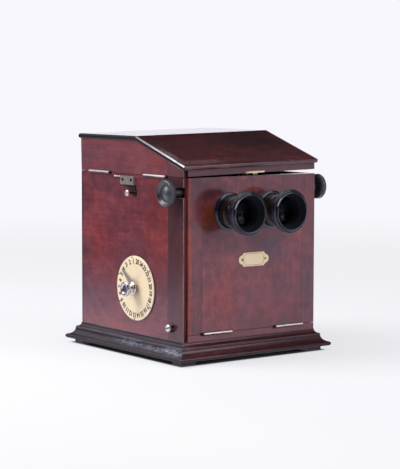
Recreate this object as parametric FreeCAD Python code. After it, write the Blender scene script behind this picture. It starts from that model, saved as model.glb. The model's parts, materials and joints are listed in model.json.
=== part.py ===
import FreeCAD, Part
import math
import os
from FreeCAD import Vector

# A wooden tabletop stereo viewer. X runs to the right, Y to the back and Z up, in millimetres.
# The origin is on the table, below the middle of the whole viewer.
# Depths are written as distances behind the case's front face, and at() turns them into Y.

# Case and base
body_width = 200.0
body_depth = 218.0
base_height = 26.5
case_height = 193.0
board = 8.0
side_stile_width = 31.0
joint_gap = 0.4
base_board_thickness = 12.0
moulding_reach = 15.8
moulding_inset = 12.0
foot_height = 5.5
foot_side = 20.0
foot_setback = 9.0

# Front corner: a strip of the left side shows, then a groove, then the door
corner_strip = 2.2
groove_width = 4.4
groove_depth = 3.0
door_clearance = 0.3

# Door and bottom rail
bottom_rail_height = 7.4
door_gap = 0.5
door_left_joint = -73.5
door_right_joint = 79.5
door_edge_radius = 3.0

# Hinges
knuckle_radius = 1.8
pin_radius = 0.8
pin_clearance = 0.05
leaf_thickness = 1.0
leaf_width = 7.5
barrel_proud = 1.0
barrel_clearance = 2.1
lid_hinge_length = 47.0
lid_hinge_starts = (31.9, 151.0)
door_hinge_length = 44.5
door_hinge_starts = (-73.6, 36.4)

# Lid
lid_ajar_degrees = 1.1
lid_board_thickness = 6.0
lid_front_height = 9.1
lid_ridge_height = 40.5
lid_ridge_depth = 95.5
lid_overhang = 2.8
lid_side_overhang = 1.9
lid_rail_gap = 1.1
lid_nose_radius = 2.4

# Eyepieces
eye_spacing = 63.4
eye_height = 151.1
tube_radius = 19.0
tube_bore = 17.4
tube_front = -31.0
tube_back = 22.0
flange_radius = 23.0
flange_proud = 3.2
flange_spigot = 20.3
running_clearance = 0.06
eyecup_reach = 39.8
eyecup_radius = 26.25
eyecup_mouth = 22.0

# Focusing shaft, its knobs and its gear
focus_depth = 13.7
focus_height = 175.4
focus_shaft_radius = 2.5
focus_neck_radius = 5.25
focus_knob_radius = 15.5
focus_knob_reach = 18.6
focus_knob_width = 9.0
focus_module = 0.5
focus_teeth = 16
notch_below = 0.45
notch_above = 1.1

# Slide numbers, and the selector that moves the tray
slide_count = 25
first_slide_at_rest = 4
pointer_degrees = 51.2
selector_depth = 96.4
selector_height = 55.0
dial_radius = 39.6
dial_thickness = 2.0
selector_module = 1.0
selector_teeth = 28
spindle_radius = 3.0
gear_width = 5.0
selector_gear_left = -84.0

# Lifting plane, crank and lift
lift_depth = 100.0
lift_module = 1.0
lift_teeth = 20
crank_height = 123.5
crank_length = 26.0
slide_height = 60.0
slide_floor = 57.5
finger_thickness = 2.0

# Small fittings on the left side
release_depth = 99.9
release_height = 170.9
release_reach = 12.8
plate_front = 97.9
plate_back = 125.8
plate_bottom = 180.2
plate_top = 190.4
plate_thickness = 3.5
side_screw_depth = 23.2
side_screw_height = 14.9

# Places worked out from the sizes above
left = -body_width / 2
right = body_width / 2
inner_left = left + board
inner_right = right - board
whole_depth = eyecup_reach + body_depth + moulding_reach
front = eyecup_reach - whole_depth / 2
case_top = base_height + case_height - joint_gap / 2
joint_z = base_height + case_height
eye_z = base_height + eye_height
door_bottom = base_height + bottom_rail_height + door_gap
door_axis_z = base_height + bottom_rail_height + door_gap / 2
door_left = left + corner_strip + groove_width
rail_depth = board + door_clearance
slot_pitch = math.pi * selector_module * selector_teeth / slide_count
selector_radius = selector_module * selector_teeth / 2
lift_radius = lift_module * lift_teeth / 2
focus_radius = focus_module * focus_teeth / 2
slot_z = base_height + slide_floor


def at(depth):
    """Y of a point that lies this far behind the case's front face."""
    return front + depth


def up(height):
    """Z of a point that lies this far above the base."""
    return base_height + height


def box(x0, x1, y0, y1, z0, z1):
    return Part.makeBox(x1 - x0, y1 - y0, z1 - z0, Vector(x0, y0, z0))


def rod_x(x0, x1, y, z, radius):
    return Part.makeCylinder(radius, x1 - x0, Vector(x0, y, z), Vector(1, 0, 0))


def rod_y(x, y0, y1, z, radius):
    return Part.makeCylinder(radius, y1 - y0, Vector(x, y0, z), Vector(0, 1, 0))


def prism(points, direction):
    """A solid with straight sides on a closed outline of points."""
    outline = Part.makePolygon([*points, points[0]])
    return Part.Face(outline).extrude(direction)


def turned(outline, origin, axis, radial):
    """A turned piece. The outline is a closed list of (distance along the axis, radius)."""
    points = [origin + axis * along + radial * radius for along, radius in outline]
    face = Part.Face(Part.makePolygon([*points, points[0]]))
    return face.revolve(origin, axis, 360)


def group(solids):
    return Part.makeCompound(solids)


def cut_each(solids, tools):
    return [solid.cut(tools) for solid in solids]


def tooth_half_angle(module, teeth, radius, backlash):
    """Half the angle that an involute tooth takes up at a radius."""
    pressure = math.radians(20)
    pitch_radius = module * teeth / 2
    base_radius = pitch_radius * math.cos(pressure)
    pitch_half = (math.pi * module / 2 - backlash) / 2 / pitch_radius
    here = math.acos(min(1.0, base_radius / max(radius, base_radius)))
    involute_here = math.tan(here) - here
    involute_pitch = math.tan(pressure) - pressure
    return pitch_half + involute_pitch - involute_here


def gear_x(module, teeth, x0, x1, y, z, bore, tooth_direction):
    """A spur gear on an axis along X, with one tooth centred on tooth_direction."""
    pitch_radius = module * teeth / 2
    root = pitch_radius - 1.25 * module
    tip = pitch_radius + 0.9 * module
    backlash = 0.12 * module
    radii = [root, pitch_radius * math.cos(math.radians(20)), pitch_radius, tip]
    if radii[1] < root:
        radii.pop(1)
    flank = [(radius, tooth_half_angle(module, teeth, radius, backlash)) for radius in radii]
    points = []
    for tooth in range(teeth):
        centre = tooth_direction + 2 * math.pi * tooth / teeth
        for radius, half in flank:
            points.append((radius, centre - half))
        for radius, half in reversed(flank):
            points.append((radius, centre + half))
    outline = [Vector(x0, y + r * math.cos(a), z + r * math.sin(a)) for r, a in points]
    blank = prism(outline, Vector(x1 - x0, 0, 0))
    return blank.cut(rod_x(x0 - 1, x1 + 1, y, z, bore))


def rack_edge(start, end, gap_centre, module):
    """A toothed edge as (distance along, height over the pitch line), a gap at gap_centre."""
    pitch = math.pi * module
    slope = math.tan(math.radians(20))
    half = (pitch / 2 - 0.12 * module) / 2
    tip = 0.9 * module
    root = -1.25 * module
    half_tip = half - tip * slope
    half_root = half - root * slope
    first = math.ceil((start + half_root - gap_centre) / pitch - 0.5)
    last = math.floor((end - half_root - gap_centre) / pitch - 0.5)
    edge = [(start, root)]
    for number in range(first, last + 1):
        centre = gap_centre + (number + 0.5) * pitch
        edge.append((centre - half_root, root))
        edge.append((centre - half_tip, tip))
        edge.append((centre + half_tip, tip))
        edge.append((centre + half_root, root))
    edge.append((end, root))
    return edge


# Base
def base_moulding(side):
    """One length of the moulding, mitred at both ends. side is front, back, left or right."""
    top_step = base_height - 5.5
    nose_radius = 2.6
    nose_u = moulding_reach - nose_radius
    nose_z = foot_height + nose_radius
    board_bottom = base_height - base_board_thickness

    def place(u, z):
        if side == "front":
            return Vector(0, front - u, z)
        if side == "back":
            return Vector(0, at(body_depth) + u, z)
        if side == "left":
            return Vector(left - u, at(body_depth / 2), z)
        return Vector(right + u, at(body_depth / 2), z)

    def line(a, b):
        return Part.LineSegment(place(*a), place(*b)).toShape()

    def arc(a, b, c):
        return Part.Arc(place(*a), place(*b), place(*c)).toShape()

    inner_low = (-moulding_inset, foot_height)
    inner_high = (-moulding_inset, board_bottom)
    ledge = (0, board_bottom)
    top_in = (0, base_height)
    cove_top = (0.5, base_height)
    cove_low = (5.4, top_step)
    fillet_top = (6.0, top_step - 0.5)
    fillet_low = (6.1, top_step - 2.1)
    scotia_middle = (8.2, top_step - 7.4)
    scotia_low = (nose_u, nose_z + nose_radius)
    nose_tip = (moulding_reach, nose_z)
    nose_low = (nose_u, foot_height)
    edges = [
        line(inner_low, inner_high),
        line(inner_high, ledge),
        line(ledge, top_in),
        line(top_in, cove_top),
        arc(cove_top, (1.9, top_step + 1.6), cove_low),
        line(cove_low, fillet_top),
        line(fillet_top, fillet_low),
        arc(fillet_low, scotia_middle, scotia_low),
        arc(scotia_low, nose_tip, nose_low),
        line(nose_low, inner_low),
    ]
    face = Part.Face(Part.Wire(edges))
    along_x = side in ("front", "back")
    half = (body_width if along_x else body_depth) / 2 + moulding_reach + 1
    run = Vector(2 * half, 0, 0) if along_x else Vector(0, 2 * half, 0)
    bar = face.extrude(run)
    bar.translate(run * -0.5)
    outer_x = right + moulding_reach
    outer_front = front - moulding_reach
    outer_back = at(body_depth) + moulding_reach
    inner_x = right - moulding_inset
    inner_front = front + moulding_inset
    inner_back = at(body_depth) - moulding_inset
    corners = {
        "front": [(-outer_x, outer_front), (outer_x, outer_front),
                  (inner_x, inner_front), (-inner_x, inner_front)],
        "back": [(-outer_x, outer_back), (outer_x, outer_back),
                 (inner_x, inner_back), (-inner_x, inner_back)],
        "left": [(-outer_x, outer_front), (-outer_x, outer_back),
                 (-inner_x, inner_back), (-inner_x, inner_front)],
        "right": [(outer_x, outer_front), (outer_x, outer_back),
                  (inner_x, inner_back), (inner_x, inner_front)],
    }
    mitre = prism([Vector(x, y, 0) for x, y in corners[side]], Vector(0, 0, base_height + 5))
    return bar.common(mitre)


def base_board():
    return box(left, right, front, at(body_depth), base_height - base_board_thickness, base_height)


def corner_feet():
    far_x = right + moulding_reach - foot_setback
    near = front - moulding_reach + foot_setback
    far = at(body_depth) + moulding_reach - foot_setback
    feet = []
    for x0 in (-far_x, far_x - foot_side):
        for y0 in (near, far - foot_side):
            feet.append(box(x0, x0 + foot_side, y0, y0 + foot_side, 0, foot_height))
    return group(feet)


# Case
def shaft_notch(side_x0, side_x1, from_depth):
    """The slot that lets the focusing shaft leave the side when the door opens."""
    y = at(focus_depth)
    low = up(focus_height) - focus_neck_radius - notch_below
    high = up(focus_height) + focus_neck_radius + notch_above
    radius = (high - low) / 2
    slot = box(side_x0, side_x1, at(from_depth), y, low, high)
    return slot.fuse(rod_x(side_x0, side_x1, y, low + radius, radius))


def corner_outline(z):
    """Plan of the left front stile, with its strip, groove and rebate for the door."""
    strip = left + corner_strip
    return [
        Vector(left, front, z),
        Vector(strip, front, z),
        Vector(strip, at(groove_depth), z),
        Vector(door_left, at(groove_depth), z),
        Vector(door_left, at(rail_depth), z),
        Vector(inner_left, at(rail_depth), z),
        Vector(inner_left, at(side_stile_width), z),
        Vector(left, at(side_stile_width), z),
    ]


def side_stiles():
    height = case_top - base_height
    left_stile = prism(corner_outline(base_height), Vector(0, 0, height))
    right_stile = box(inner_right, right, at(rail_depth), at(side_stile_width), base_height, case_top)
    left_stile = left_stile.cut(shaft_notch(left - 1, inner_left + 1, -1))
    right_stile = right_stile.cut(shaft_notch(inner_right - 1, right + 1, rail_depth - 1))
    screw_hole = rod_x(left - 1, left + 6, at(side_screw_depth), up(side_screw_height), 1.5)
    return group([left_stile.cut(screw_hole), right_stile])


def left_side_panel():
    panel = box(left, inner_left, at(side_stile_width), at(body_depth), base_height, case_top)
    tools = lid_hinge_recesses(case_top - leaf_thickness, case_top + 1)
    tools.append(rod_x(left - 1, inner_left + 1, at(selector_depth), up(selector_height), 5.0))
    tools.append(rod_x(left - 1, inner_left + 1, at(release_depth), up(release_height), 1.9))
    return panel.cut(tools)


def right_side_panel():
    panel = box(inner_right, right, at(side_stile_width), at(body_depth), base_height, case_top)
    return panel.cut(rod_x(inner_right - 1, right + 1, crank_y(), up(crank_height), 5.0))


def bottom_rail():
    rail = box(door_left, right, front, at(rail_depth), base_height, base_height + bottom_rail_height)
    tools = door_hinge_recesses(base_height + bottom_rail_height - leaf_thickness, door_bottom)
    return rail.cut(tools)


window_half_width = 62.0
window_half_height = 30.0
window_lip = 4.0
glass_thickness = 2.0
bead_thickness = 2.0


def back_panel():
    panel = box(inner_left, inner_right, at(body_depth - board), at(body_depth), base_height, case_top)
    seat_w = window_half_width
    seat_h = window_half_height
    seat = box(-seat_w, seat_w, at(body_depth - board) - 1, at(body_depth - board) + glass_thickness
               + bead_thickness, eye_z - seat_h, eye_z + seat_h)
    view_w = seat_w - window_lip
    view_h = seat_h - window_lip
    view = box(-view_w, view_w, at(body_depth - board) - 1, at(body_depth) + 1,
               eye_z - view_h, eye_z + view_h)
    return panel.cut([seat, view])


def ground_glass():
    y0 = at(body_depth - board) + bead_thickness
    return box(-window_half_width, window_half_width, y0, y0 + glass_thickness,
               eye_z - window_half_height, eye_z + window_half_height)


def glass_beads():
    y0 = at(body_depth - board)
    frame = box(-window_half_width, window_half_width, y0, y0 + bead_thickness,
                eye_z - window_half_height, eye_z + window_half_height)
    view_w = window_half_width - window_lip
    view_h = window_half_height - window_lip
    return frame.cut(box(-view_w, view_w, y0 - 1, y0 + bead_thickness + 1,
                         eye_z - view_h, eye_z + view_h))


# Hinges
def lid_hinge_recesses(low, high):
    """Space in the wood for each lid hinge: a seat for the leaf, and room for the barrel."""
    tools = []
    for start in lid_hinge_starts:
        y0 = at(start)
        y1 = y0 + lid_hinge_length
        x1 = left - barrel_proud + leaf_width
        tools.append(box(left - 5, x1, y0, y1, low, high))
        tools.append(rod_y(left - barrel_proud, y0 - 0.2, y1 + 0.2, joint_z, barrel_clearance))
    return tools


def door_hinge_recesses(low, high):
    """The same spaces for the door's hinges, along X."""
    tools = []
    for start in door_hinge_starts:
        y1 = front - barrel_proud + leaf_width
        tools.append(box(start, start + door_hinge_length, front - 5, y1, low, high))
        tools.append(rod_x(start - 0.2, start + door_hinge_length + 0.2, front - barrel_proud,
                           door_axis_z, barrel_clearance))
    return tools


def hinge(start, length, along_x, axis_depth, axis_z, leaf_low, moving):
    """One leaf of a butt hinge. The fixed leaf has the two outer knuckles, the moving one
    the middle knuckle. axis_depth is X of the lid's axis, or Y of the door's."""

    def plate(a0, a1, b0, b1, z0, z1):
        return box(a0, a1, b0, b1, z0, z1) if along_x else box(b0, b1, a0, a1, z0, z1)

    def rod(a0, a1, radius):
        if along_x:
            return rod_x(a0, a1, axis_depth, axis_z, radius)
        return rod_y(axis_depth, a0, a1, axis_z, radius)

    third = length / 3
    gap = 0.2
    end = start + length
    leaf_high = leaf_low + leaf_thickness
    back = axis_depth + leaf_width
    clear = axis_depth + barrel_clearance
    leaf = plate(start, end, clear, back, leaf_low, leaf_high)
    if moving:
        knuckles = [(start + third + gap, end - third - gap)]
        bore = pin_radius + pin_clearance
    else:
        knuckles = [(start, start + third - gap), (end - third + gap, end)]
        bore = pin_radius
    for a0, a1 in knuckles:
        leaf = leaf.fuse(plate(a0, a1, axis_depth, clear, leaf_low, leaf_high))
        leaf = leaf.fuse(rod(a0, a1, knuckle_radius))
    return leaf.cut(rod(start - 1, end + 1, bore)).removeSplitter()


def lid_leaf(start, moving):
    low = joint_z + joint_gap / 2 if moving else case_top - leaf_thickness
    return hinge(at(start), lid_hinge_length, False, left - barrel_proud, joint_z, low, moving)


def door_leaf(start, moving):
    rail_top = base_height + bottom_rail_height
    low = door_bottom if moving else rail_top - leaf_thickness
    return hinge(start, door_hinge_length, True, front - barrel_proud, door_axis_z, low, moving)


def hinge_fixed_leaves():
    leaves = [lid_leaf(start, False) for start in lid_hinge_starts]
    leaves.extend(door_leaf(start, False) for start in door_hinge_starts)
    return group(leaves)


def hinge_pins():
    pins = []
    for start in lid_hinge_starts:
        pins.append(rod_y(left - barrel_proud, at(start), at(start) + lid_hinge_length,
                          joint_z, pin_radius))
    for start in door_hinge_starts:
        pins.append(rod_x(start, start + door_hinge_length, front - barrel_proud,
                          door_axis_z, pin_radius))
    return group(pins)


# Inside of the case
gate_front = lift_depth + 3.0
gate_back = lift_depth + 8.0
gate_bottom_z = slot_z + slide_height + 3.0
gate_top_z = eye_z + 37.0
gate_window_width = 56.0
gate_window_height = 52.0
upright_inner = 66.5
upright_outer = 71.5
upright_half_depth = 1.2


def lift_guides():
    """Channels that the lift's uprights run in. The right one is open in front for the rack."""
    low = slot_z + slide_height / 3
    wall = upright_outer + 0.3
    near = at(lift_depth - 3)
    far = at(gate_front)
    slot_near = at(lift_depth - upright_half_depth - 0.3)
    slot_far = at(lift_depth + upright_half_depth + 0.3)
    left_channel = box(-wall - 2, -upright_inner - 1, near, far, low, gate_top_z)
    left_channel = left_channel.cut(box(-wall, 0, slot_near, slot_far, low - 1, gate_top_z + 1))
    right_channel = box(upright_inner + 1, wall + 2, slot_near, far, low, gate_top_z)
    right_channel = right_channel.cut(box(0, wall, slot_near - 1, slot_far, low - 1, gate_top_z + 1))
    return group([left_channel, right_channel])


baffle_front = 40.0
baffle_thickness = 3.0
baffle_window_width = 48.0
baffle_window_height = 46.0
septum_half = 1.5


def windowed_board(near, far, window_width, window_height):
    """A board right across the case, with a window in front of each eye."""
    plate = box(inner_left, inner_right, at(near), at(far), gate_bottom_z, gate_top_z)
    half_w = window_width / 2
    half_h = window_height / 2
    windows = [box(x - half_w, x + half_w, at(near) - 1, at(far) + 1, eye_z - half_h, eye_z + half_h)
               for x in (-eye_spacing / 2, eye_spacing / 2)]
    return plate.cut(windows)


def gate_board():
    return windowed_board(gate_front, gate_back, gate_window_width, gate_window_height)


def light_baffle():
    """The board behind the eyepieces. It carries the septum."""
    return windowed_board(baffle_front, baffle_front + baffle_thickness, baffle_window_width,
                          baffle_window_height)


def septum():
    """The wall between the two views, clear of the plane that the slides rise in."""
    return box(-septum_half, septum_half, at(baffle_front + baffle_thickness), at(lift_depth - 3),
               gate_bottom_z, gate_top_z)


tray_half_width = 46.0
tray_bottom_z = slot_z - 8.0
tray_top_z = slot_z + 8.0
tray_wall = 2.0
runner_clearance = 0.1
lip_clearance = 0.3


def tray_runners():
    """Two boards along the floor of the case that the tray slides on, each with a lip."""
    runners = []
    for side in (-1, 1):
        outline = [
            (tray_half_width - 8, base_height),
            (tray_half_width + 2.3, base_height),
            (tray_half_width + 2.3, tray_bottom_z + 4),
            (tray_half_width + lip_clearance, tray_bottom_z + 4),
            (tray_half_width + lip_clearance, tray_bottom_z - runner_clearance),
            (tray_half_width - 8, tray_bottom_z - runner_clearance),
        ]
        points = [Vector(side * x, at(9.5), z) for x, z in outline]
        runners.append(prism(points, Vector(0, body_depth - 19, 0)))
    return group(runners)


def spindle_bushes():
    """Turned brass bushes for the selector on the left and the crank on the right."""
    bore = spindle_radius + running_clearance
    outline = [(0, bore), (0, 5.0), (board, 5.0), (board, 7.0), (board + 2, 7.0), (board + 2, bore)]
    selector = turned(outline, Vector(left, at(selector_depth), up(selector_height)),
                      Vector(1, 0, 0), Vector(0, 1, 0))
    crank = turned(outline, Vector(right, crank_y(), up(crank_height)),
                   Vector(-1, 0, 0), Vector(0, 1, 0))
    return group([selector, crank])


# Dial and selector
def dial_disc():
    y = at(selector_depth)
    z = up(selector_height)
    bevel = 0.5
    outline = [(0, 4.2), (0, dial_radius), (dial_thickness - bevel, dial_radius),
               (dial_thickness, dial_radius - bevel), (dial_thickness, 4.2)]
    return turned(outline, Vector(left, y, z), Vector(-1, 0, 0), Vector(0, 1, 0))


dial_nail_degrees = (9.6, 67.3, 120.0, 177.1, 237.1, 307.7)
dial_nail_circle = 37.8


def dial_nails():
    nails = []
    outline = [(0, 0), (0, 0.8), (0.3, 0.7), (0.5, 0)]
    for angle in dial_nail_degrees:
        y = at(selector_depth) + dial_nail_circle * math.sin(math.radians(angle))
        z = up(selector_height) + dial_nail_circle * math.cos(math.radians(angle))
        nails.append(turned(outline, Vector(left - dial_thickness, y, z),
                            Vector(-1, 0, 0), Vector(0, 1, 0)))
    return group(nails)


def selector_spindle():
    return rod_x(left - 13.0, selector_gear_left + gear_width, at(selector_depth),
                 up(selector_height), spindle_radius)


def selector_gear():
    return gear_x(selector_module, selector_teeth, selector_gear_left,
                  selector_gear_left + gear_width, at(selector_depth), up(selector_height),
                  spindle_radius, math.pi / 2)


pointer_length = 33.0
pointer_from = 2.4
pointer_thickness = 0.9
pointer_root = 4.8
pointer_tip = 1.8


def selector_pointer():
    """A tapered needle that shows the number of the slide in view."""
    turn = math.radians(pointer_degrees)
    centre = Vector(left - pointer_from, at(selector_depth), up(selector_height))
    out = Vector(0, math.sin(turn), math.cos(turn))
    across = Vector(0, math.cos(turn), -math.sin(turn))
    thick = Vector(-pointer_thickness, 0, 0)
    end = centre + out * pointer_length
    needle = prism([centre + across * pointer_root, end + across * pointer_tip,
                    end + out * pointer_tip, end - across * pointer_tip,
                    centre - across * pointer_root], thick)
    hub = rod_x(left - pointer_from - pointer_thickness, left - pointer_from, centre.y, centre.z, 5.6)
    bore = rod_x(left - 10, left, centre.y, centre.z, spindle_radius)
    return needle.fuse(hub).cut(bore).removeSplitter()


def selector_knob():
    """The turned spool that is rolled between finger and thumb."""
    r = spindle_radius
    outline = [(3.3, r), (3.3, 5.2), (4.2, 6.0), (4.9, 5.6), (5.5, 7.4), (6.2, 8.5), (7.6, 8.6),
               (8.4, 7.6), (9.2, 5.4), (10.6, 4.6), (12.6, 4.6), (13.8, 5.6), (14.6, 7.8),
               (15.4, 9.0), (16.9, 9.2), (17.9, 8.8), (18.4, 7.6), (18.2, 5.8), (17.2, 4.6),
               (15.6, 4.2), (15.2, 0), (13.0, 0), (13.0, r)]
    return turned(outline, Vector(left, at(selector_depth), up(selector_height)),
                  Vector(-1, 0, 0), Vector(0, 1, 0))


# Tray
def slot_y(number):
    """Y of a numbered slot at rest. The numbers rise towards the front."""
    return at(lift_depth) - (number - first_slide_at_rest) * slot_pitch


tray_near = slot_y(slide_count) - slot_pitch / 2
tray_far = slot_y(1) + slot_pitch / 2
slot_width = 1.9


def slide_tray():
    block = box(-tray_half_width, tray_half_width, tray_near, tray_far, tray_bottom_z, tray_top_z)
    slots = []
    for number in range(1, slide_count + 1):
        y = slot_y(number)
        slots.append(box(-tray_half_width - 1, tray_half_width + 1, y - slot_width / 2,
                         y + slot_width / 2, slot_z, tray_top_z + 1))
    block = block.cut(slots)
    rack_top = selector_rack_top()
    for y0 in (tray_near - tray_wall, tray_far):
        block = block.fuse(box(-tray_half_width, tray_half_width, y0, y0 + tray_wall,
                               tray_bottom_z, rack_top))
    return block.removeSplitter()


rack_backing = 3.0
rack_lead = 3.2


def selector_rack_top():
    return up(selector_height) + selector_radius + 1.25 * selector_module + rack_backing


def tray_rack():
    """The toothed bar beside the tray, with an arm to each end wall."""
    pitch_z = up(selector_height) + selector_radius
    top = selector_rack_top()
    start = tray_near - tray_wall - rack_lead
    end = tray_far + tray_wall
    edge = rack_edge(start, end, at(selector_depth), selector_module)
    x0 = selector_gear_left
    points = [Vector(x0, along, pitch_z - height) for along, height in edge]
    points.append(Vector(x0, end, top))
    points.append(Vector(x0, start, top))
    bar = prism(points, Vector(gear_width, 0, 0))
    arm_low = top - rack_backing
    for y0 in (tray_near - tray_wall, tray_far):
        bar = bar.fuse(box(x0 + gear_width, -tray_half_width, y0, y0 + tray_wall, arm_low, top))
    return bar.removeSplitter()


# Lift and crank
rack_back_thickness = 1.5
lift_rack_width = 4.0


def lift_pitch_y():
    return at(lift_depth - upright_half_depth - rack_back_thickness) - 1.25 * lift_module


def crank_y():
    return lift_pitch_y() - lift_radius


def lift_frame():
    """An open frame that takes a slide by its two lower corners and lifts it to the gate."""
    near = at(lift_depth - upright_half_depth)
    far = at(lift_depth + upright_half_depth)
    low = slot_z - 4.5
    finger_top = slot_z - 0.4
    high = up(crank_height) + 6.0
    bar_low = slot_z + slide_height + 2.0
    pieces = [
        box(-upright_outer, -upright_inner, near, far, low, bar_low + 4),
        box(upright_inner, upright_outer, near, far, low, high),
        box(-upright_outer, upright_outer, near, far, bar_low, bar_low + 4),
    ]
    for side in (-1, 1):
        x0, x1 = sorted((side * (tray_half_width + 4), side * upright_outer))
        pieces.append(box(x0, x1, near, far, finger_top - finger_thickness, finger_top))
    frame = pieces[0].multiFuse(pieces[1:])
    x0 = upright_inner + 0.5
    root_y = near
    edge = rack_edge(low, high, up(crank_height), lift_module)
    points = [Vector(x0, lift_pitch_y() - height, along) for along, height in edge]
    points.append(Vector(x0, root_y, high))
    points.append(Vector(x0, root_y, low))
    rack = prism(points, Vector(lift_rack_width, 0, 0))
    return frame.fuse(rack).removeSplitter()


def lift_gear():
    x0 = upright_inner + 0.5
    return gear_x(lift_module, lift_teeth, x0, x0 + lift_rack_width, crank_y(), up(crank_height),
                  spindle_radius, 0)


def crank_spindle():
    return rod_x(upright_inner + 0.5, right + 6.0, crank_y(), up(crank_height), spindle_radius)


crank_arm_near = 2.4
crank_arm_thickness = 3.0


def crank_arm():
    """A flat arm with a round boss, hanging straight down at rest."""
    y = crank_y()
    z = up(crank_height)
    x0 = right + crank_arm_near
    x1 = x0 + crank_arm_thickness
    arm = prism([Vector(x0, y - 5.0, z), Vector(x0, y + 5.0, z), Vector(x0, y + 3.2, z - crank_length),
                 Vector(x0, y - 3.2, z - crank_length)], Vector(crank_arm_thickness, 0, 0))
    arm = arm.fuse(rod_x(x0, x1, y, z, 6.0))
    arm = arm.fuse(rod_x(x0, x1, y, z - crank_length, 3.6))
    holes = [rod_x(x0 - 1, x1 + 1, y, z, spindle_radius),
             rod_x(x0 - 1, x1 + 1, y, z - crank_length, 1.6)]
    return arm.cut(holes).removeSplitter()


def crank_knob():
    """The crank's handle, with the stem that is riveted in the arm."""
    stem_back = crank_arm_near
    seat = crank_arm_near + crank_arm_thickness
    end = focus_knob_reach
    outline = [(stem_back, 0), (stem_back, 1.6), (seat, 1.6), (seat, 3.4), (seat + 2, 3.0),
               (seat + 5, 3.8), (end - 4.5, 5.4), (end - 2.5, 5.9), (end - 0.8, 5.0), (end, 2.6),
               (end, 0)]
    return turned(outline, Vector(right, crank_y(), up(crank_height) - crank_length),
                  Vector(1, 0, 0), Vector(0, 1, 0))


# Small fittings on the left side
def release_plate():
    plate = box(left - plate_thickness, left, at(plate_front), at(plate_back), up(plate_bottom),
                up(plate_top))
    return plate.cut(release_screw_holes())


release_screw_depths = (103.0, 120.8)
release_screw_height = 186.2


def release_screw_holes():
    return [rod_x(left - 10, left, at(depth), up(release_screw_height), 1.2)
            for depth in release_screw_depths]


def side_screws():
    """Two small screws in the plate, and the slotted screw with its turned collar."""
    solids = []
    head = [(0, 0), (0, 1.2), (plate_thickness, 1.2), (plate_thickness, 1.9),
            (plate_thickness + 0.6, 1.7), (plate_thickness + 0.9, 0)]
    for depth in release_screw_depths:
        y = at(depth)
        z = up(release_screw_height)
        screw = turned(head, Vector(left, y, z), Vector(-1, 0, 0), Vector(0, 1, 0))
        slot = box(left - 6, left - plate_thickness - 0.35, y - 3, y + 3, z - 0.25, z + 0.25)
        solids.append(screw.cut(slot))
    y = at(side_screw_depth)
    z = up(side_screw_height)
    big = [(-6, 0), (-6, 1.5), (4.4, 1.5), (4.4, 4.5), (6.0, 4.4), (7.0, 3.2), (7.2, 0)]
    screw = turned(big, Vector(left, y, z), Vector(-1, 0, 0), Vector(0, 1, 0))
    slot = box(left - 9, left - 5.9, y - 6, y + 6, z - 0.55, z + 0.55)
    slot.rotate(Vector(left, y, z), Vector(1, 0, 0), -18)
    solids.append(screw.cut(slot))
    return group(solids)


def side_collar():
    outline = [(0, 1.5), (0, 5.4), (1.2, 5.4), (1.8, 4.9), (3.4, 4.9), (4.4, 4.3), (4.4, 1.5)]
    return turned(outline, Vector(left, at(side_screw_depth), up(side_screw_height)),
                  Vector(-1, 0, 0), Vector(0, 1, 0))


release_leaf_thickness = 1.0
release_leaf_radius = 4.6


def release_leaf():
    """A thin guide leaf below the plate, round at the button that runs through it."""
    y = at(release_depth)
    z = up(release_height)
    x = left
    thick = Vector(-release_leaf_thickness, 0, 0)
    top = up(plate_bottom)
    flag = prism([Vector(x, y - release_leaf_radius, z), Vector(x, at(plate_front) + 1, top),
                  Vector(x, at(plate_back) - 9, top), Vector(x, y + 3.8, z - 2.6)], thick)
    leaf = flag.fuse(rod_x(x - release_leaf_thickness, x, y, z, release_leaf_radius))
    return leaf.cut(rod_x(x - 5, x + 1, y, z, 2.0)).removeSplitter()


def keeper_wire():
    """A short wire along the joint behind the plate, with a bead on its end."""
    y0 = at(plate_back)
    y1 = at(141.0)
    z = up(plate_top) - 0.9
    x = left - 0.7
    wire = rod_y(x, y0, y1, z, 0.6)
    bead = Part.makeSphere(1.1, Vector(x - 0.4, y1, z))
    return wire.fuse(bead).removeSplitter()


def release_button():
    """The round button on the left, on a stem that runs through the side."""
    stem = 1.7
    inner = -18.0
    reach = release_reach
    outline = [(inner, 0), (inner, stem), (reach - 2.8, stem), (reach - 2.8, 3.2),
               (reach - 2.4, 3.7), (reach - 0.9, 3.7), (reach - 0.2, 2.9), (reach, 1.5), (reach, 0)]
    return turned(outline, Vector(left, at(release_depth), up(release_height)),
                  Vector(-1, 0, 0), Vector(0, 1, 0))


# Door
mortise_half_width = 5.0
mortise_skin = 2.4


def door_boards():
    """The door's panel and its two stiles, with the holes that cross them."""
    top = case_top
    tools = door_hinge_recesses(door_bottom - 1, door_bottom + leaf_thickness)
    for x in (-eye_spacing / 2, eye_spacing / 2):
        tools.append(rod_y(x, front - 1, at(board) + 1, eye_z, flange_spigot))
    rack_z = up(focus_height) - focus_radius
    tools.append(box(-mortise_half_width, mortise_half_width, at(mortise_skin), at(board) + 1,
                     rack_z - 6, rack_z + 7))
    for nail_x in nameplate_nail_x():
        tools.append(rod_y(nail_x, front - 1, at(3), up(nameplate_height), 0.6))
    door_x0 = door_left + door_clearance
    panel = box(door_left_joint, door_right_joint, front, at(board), door_bottom, top)
    left_stile = box(door_x0, door_left_joint, front, at(board), door_bottom, top)
    edge = [e for e in left_stile.Edges
            if abs(e.BoundBox.XMax - door_x0) < 1e-6 and abs(e.BoundBox.YMax - front) < 1e-6
            and e.BoundBox.ZLength > 10]
    left_stile = left_stile.makeFillet(door_edge_radius, edge)
    right_stile = box(door_right_joint, right, front, at(board), door_bottom, top)
    return cut_each([panel, left_stile, right_stile], tools)


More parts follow.
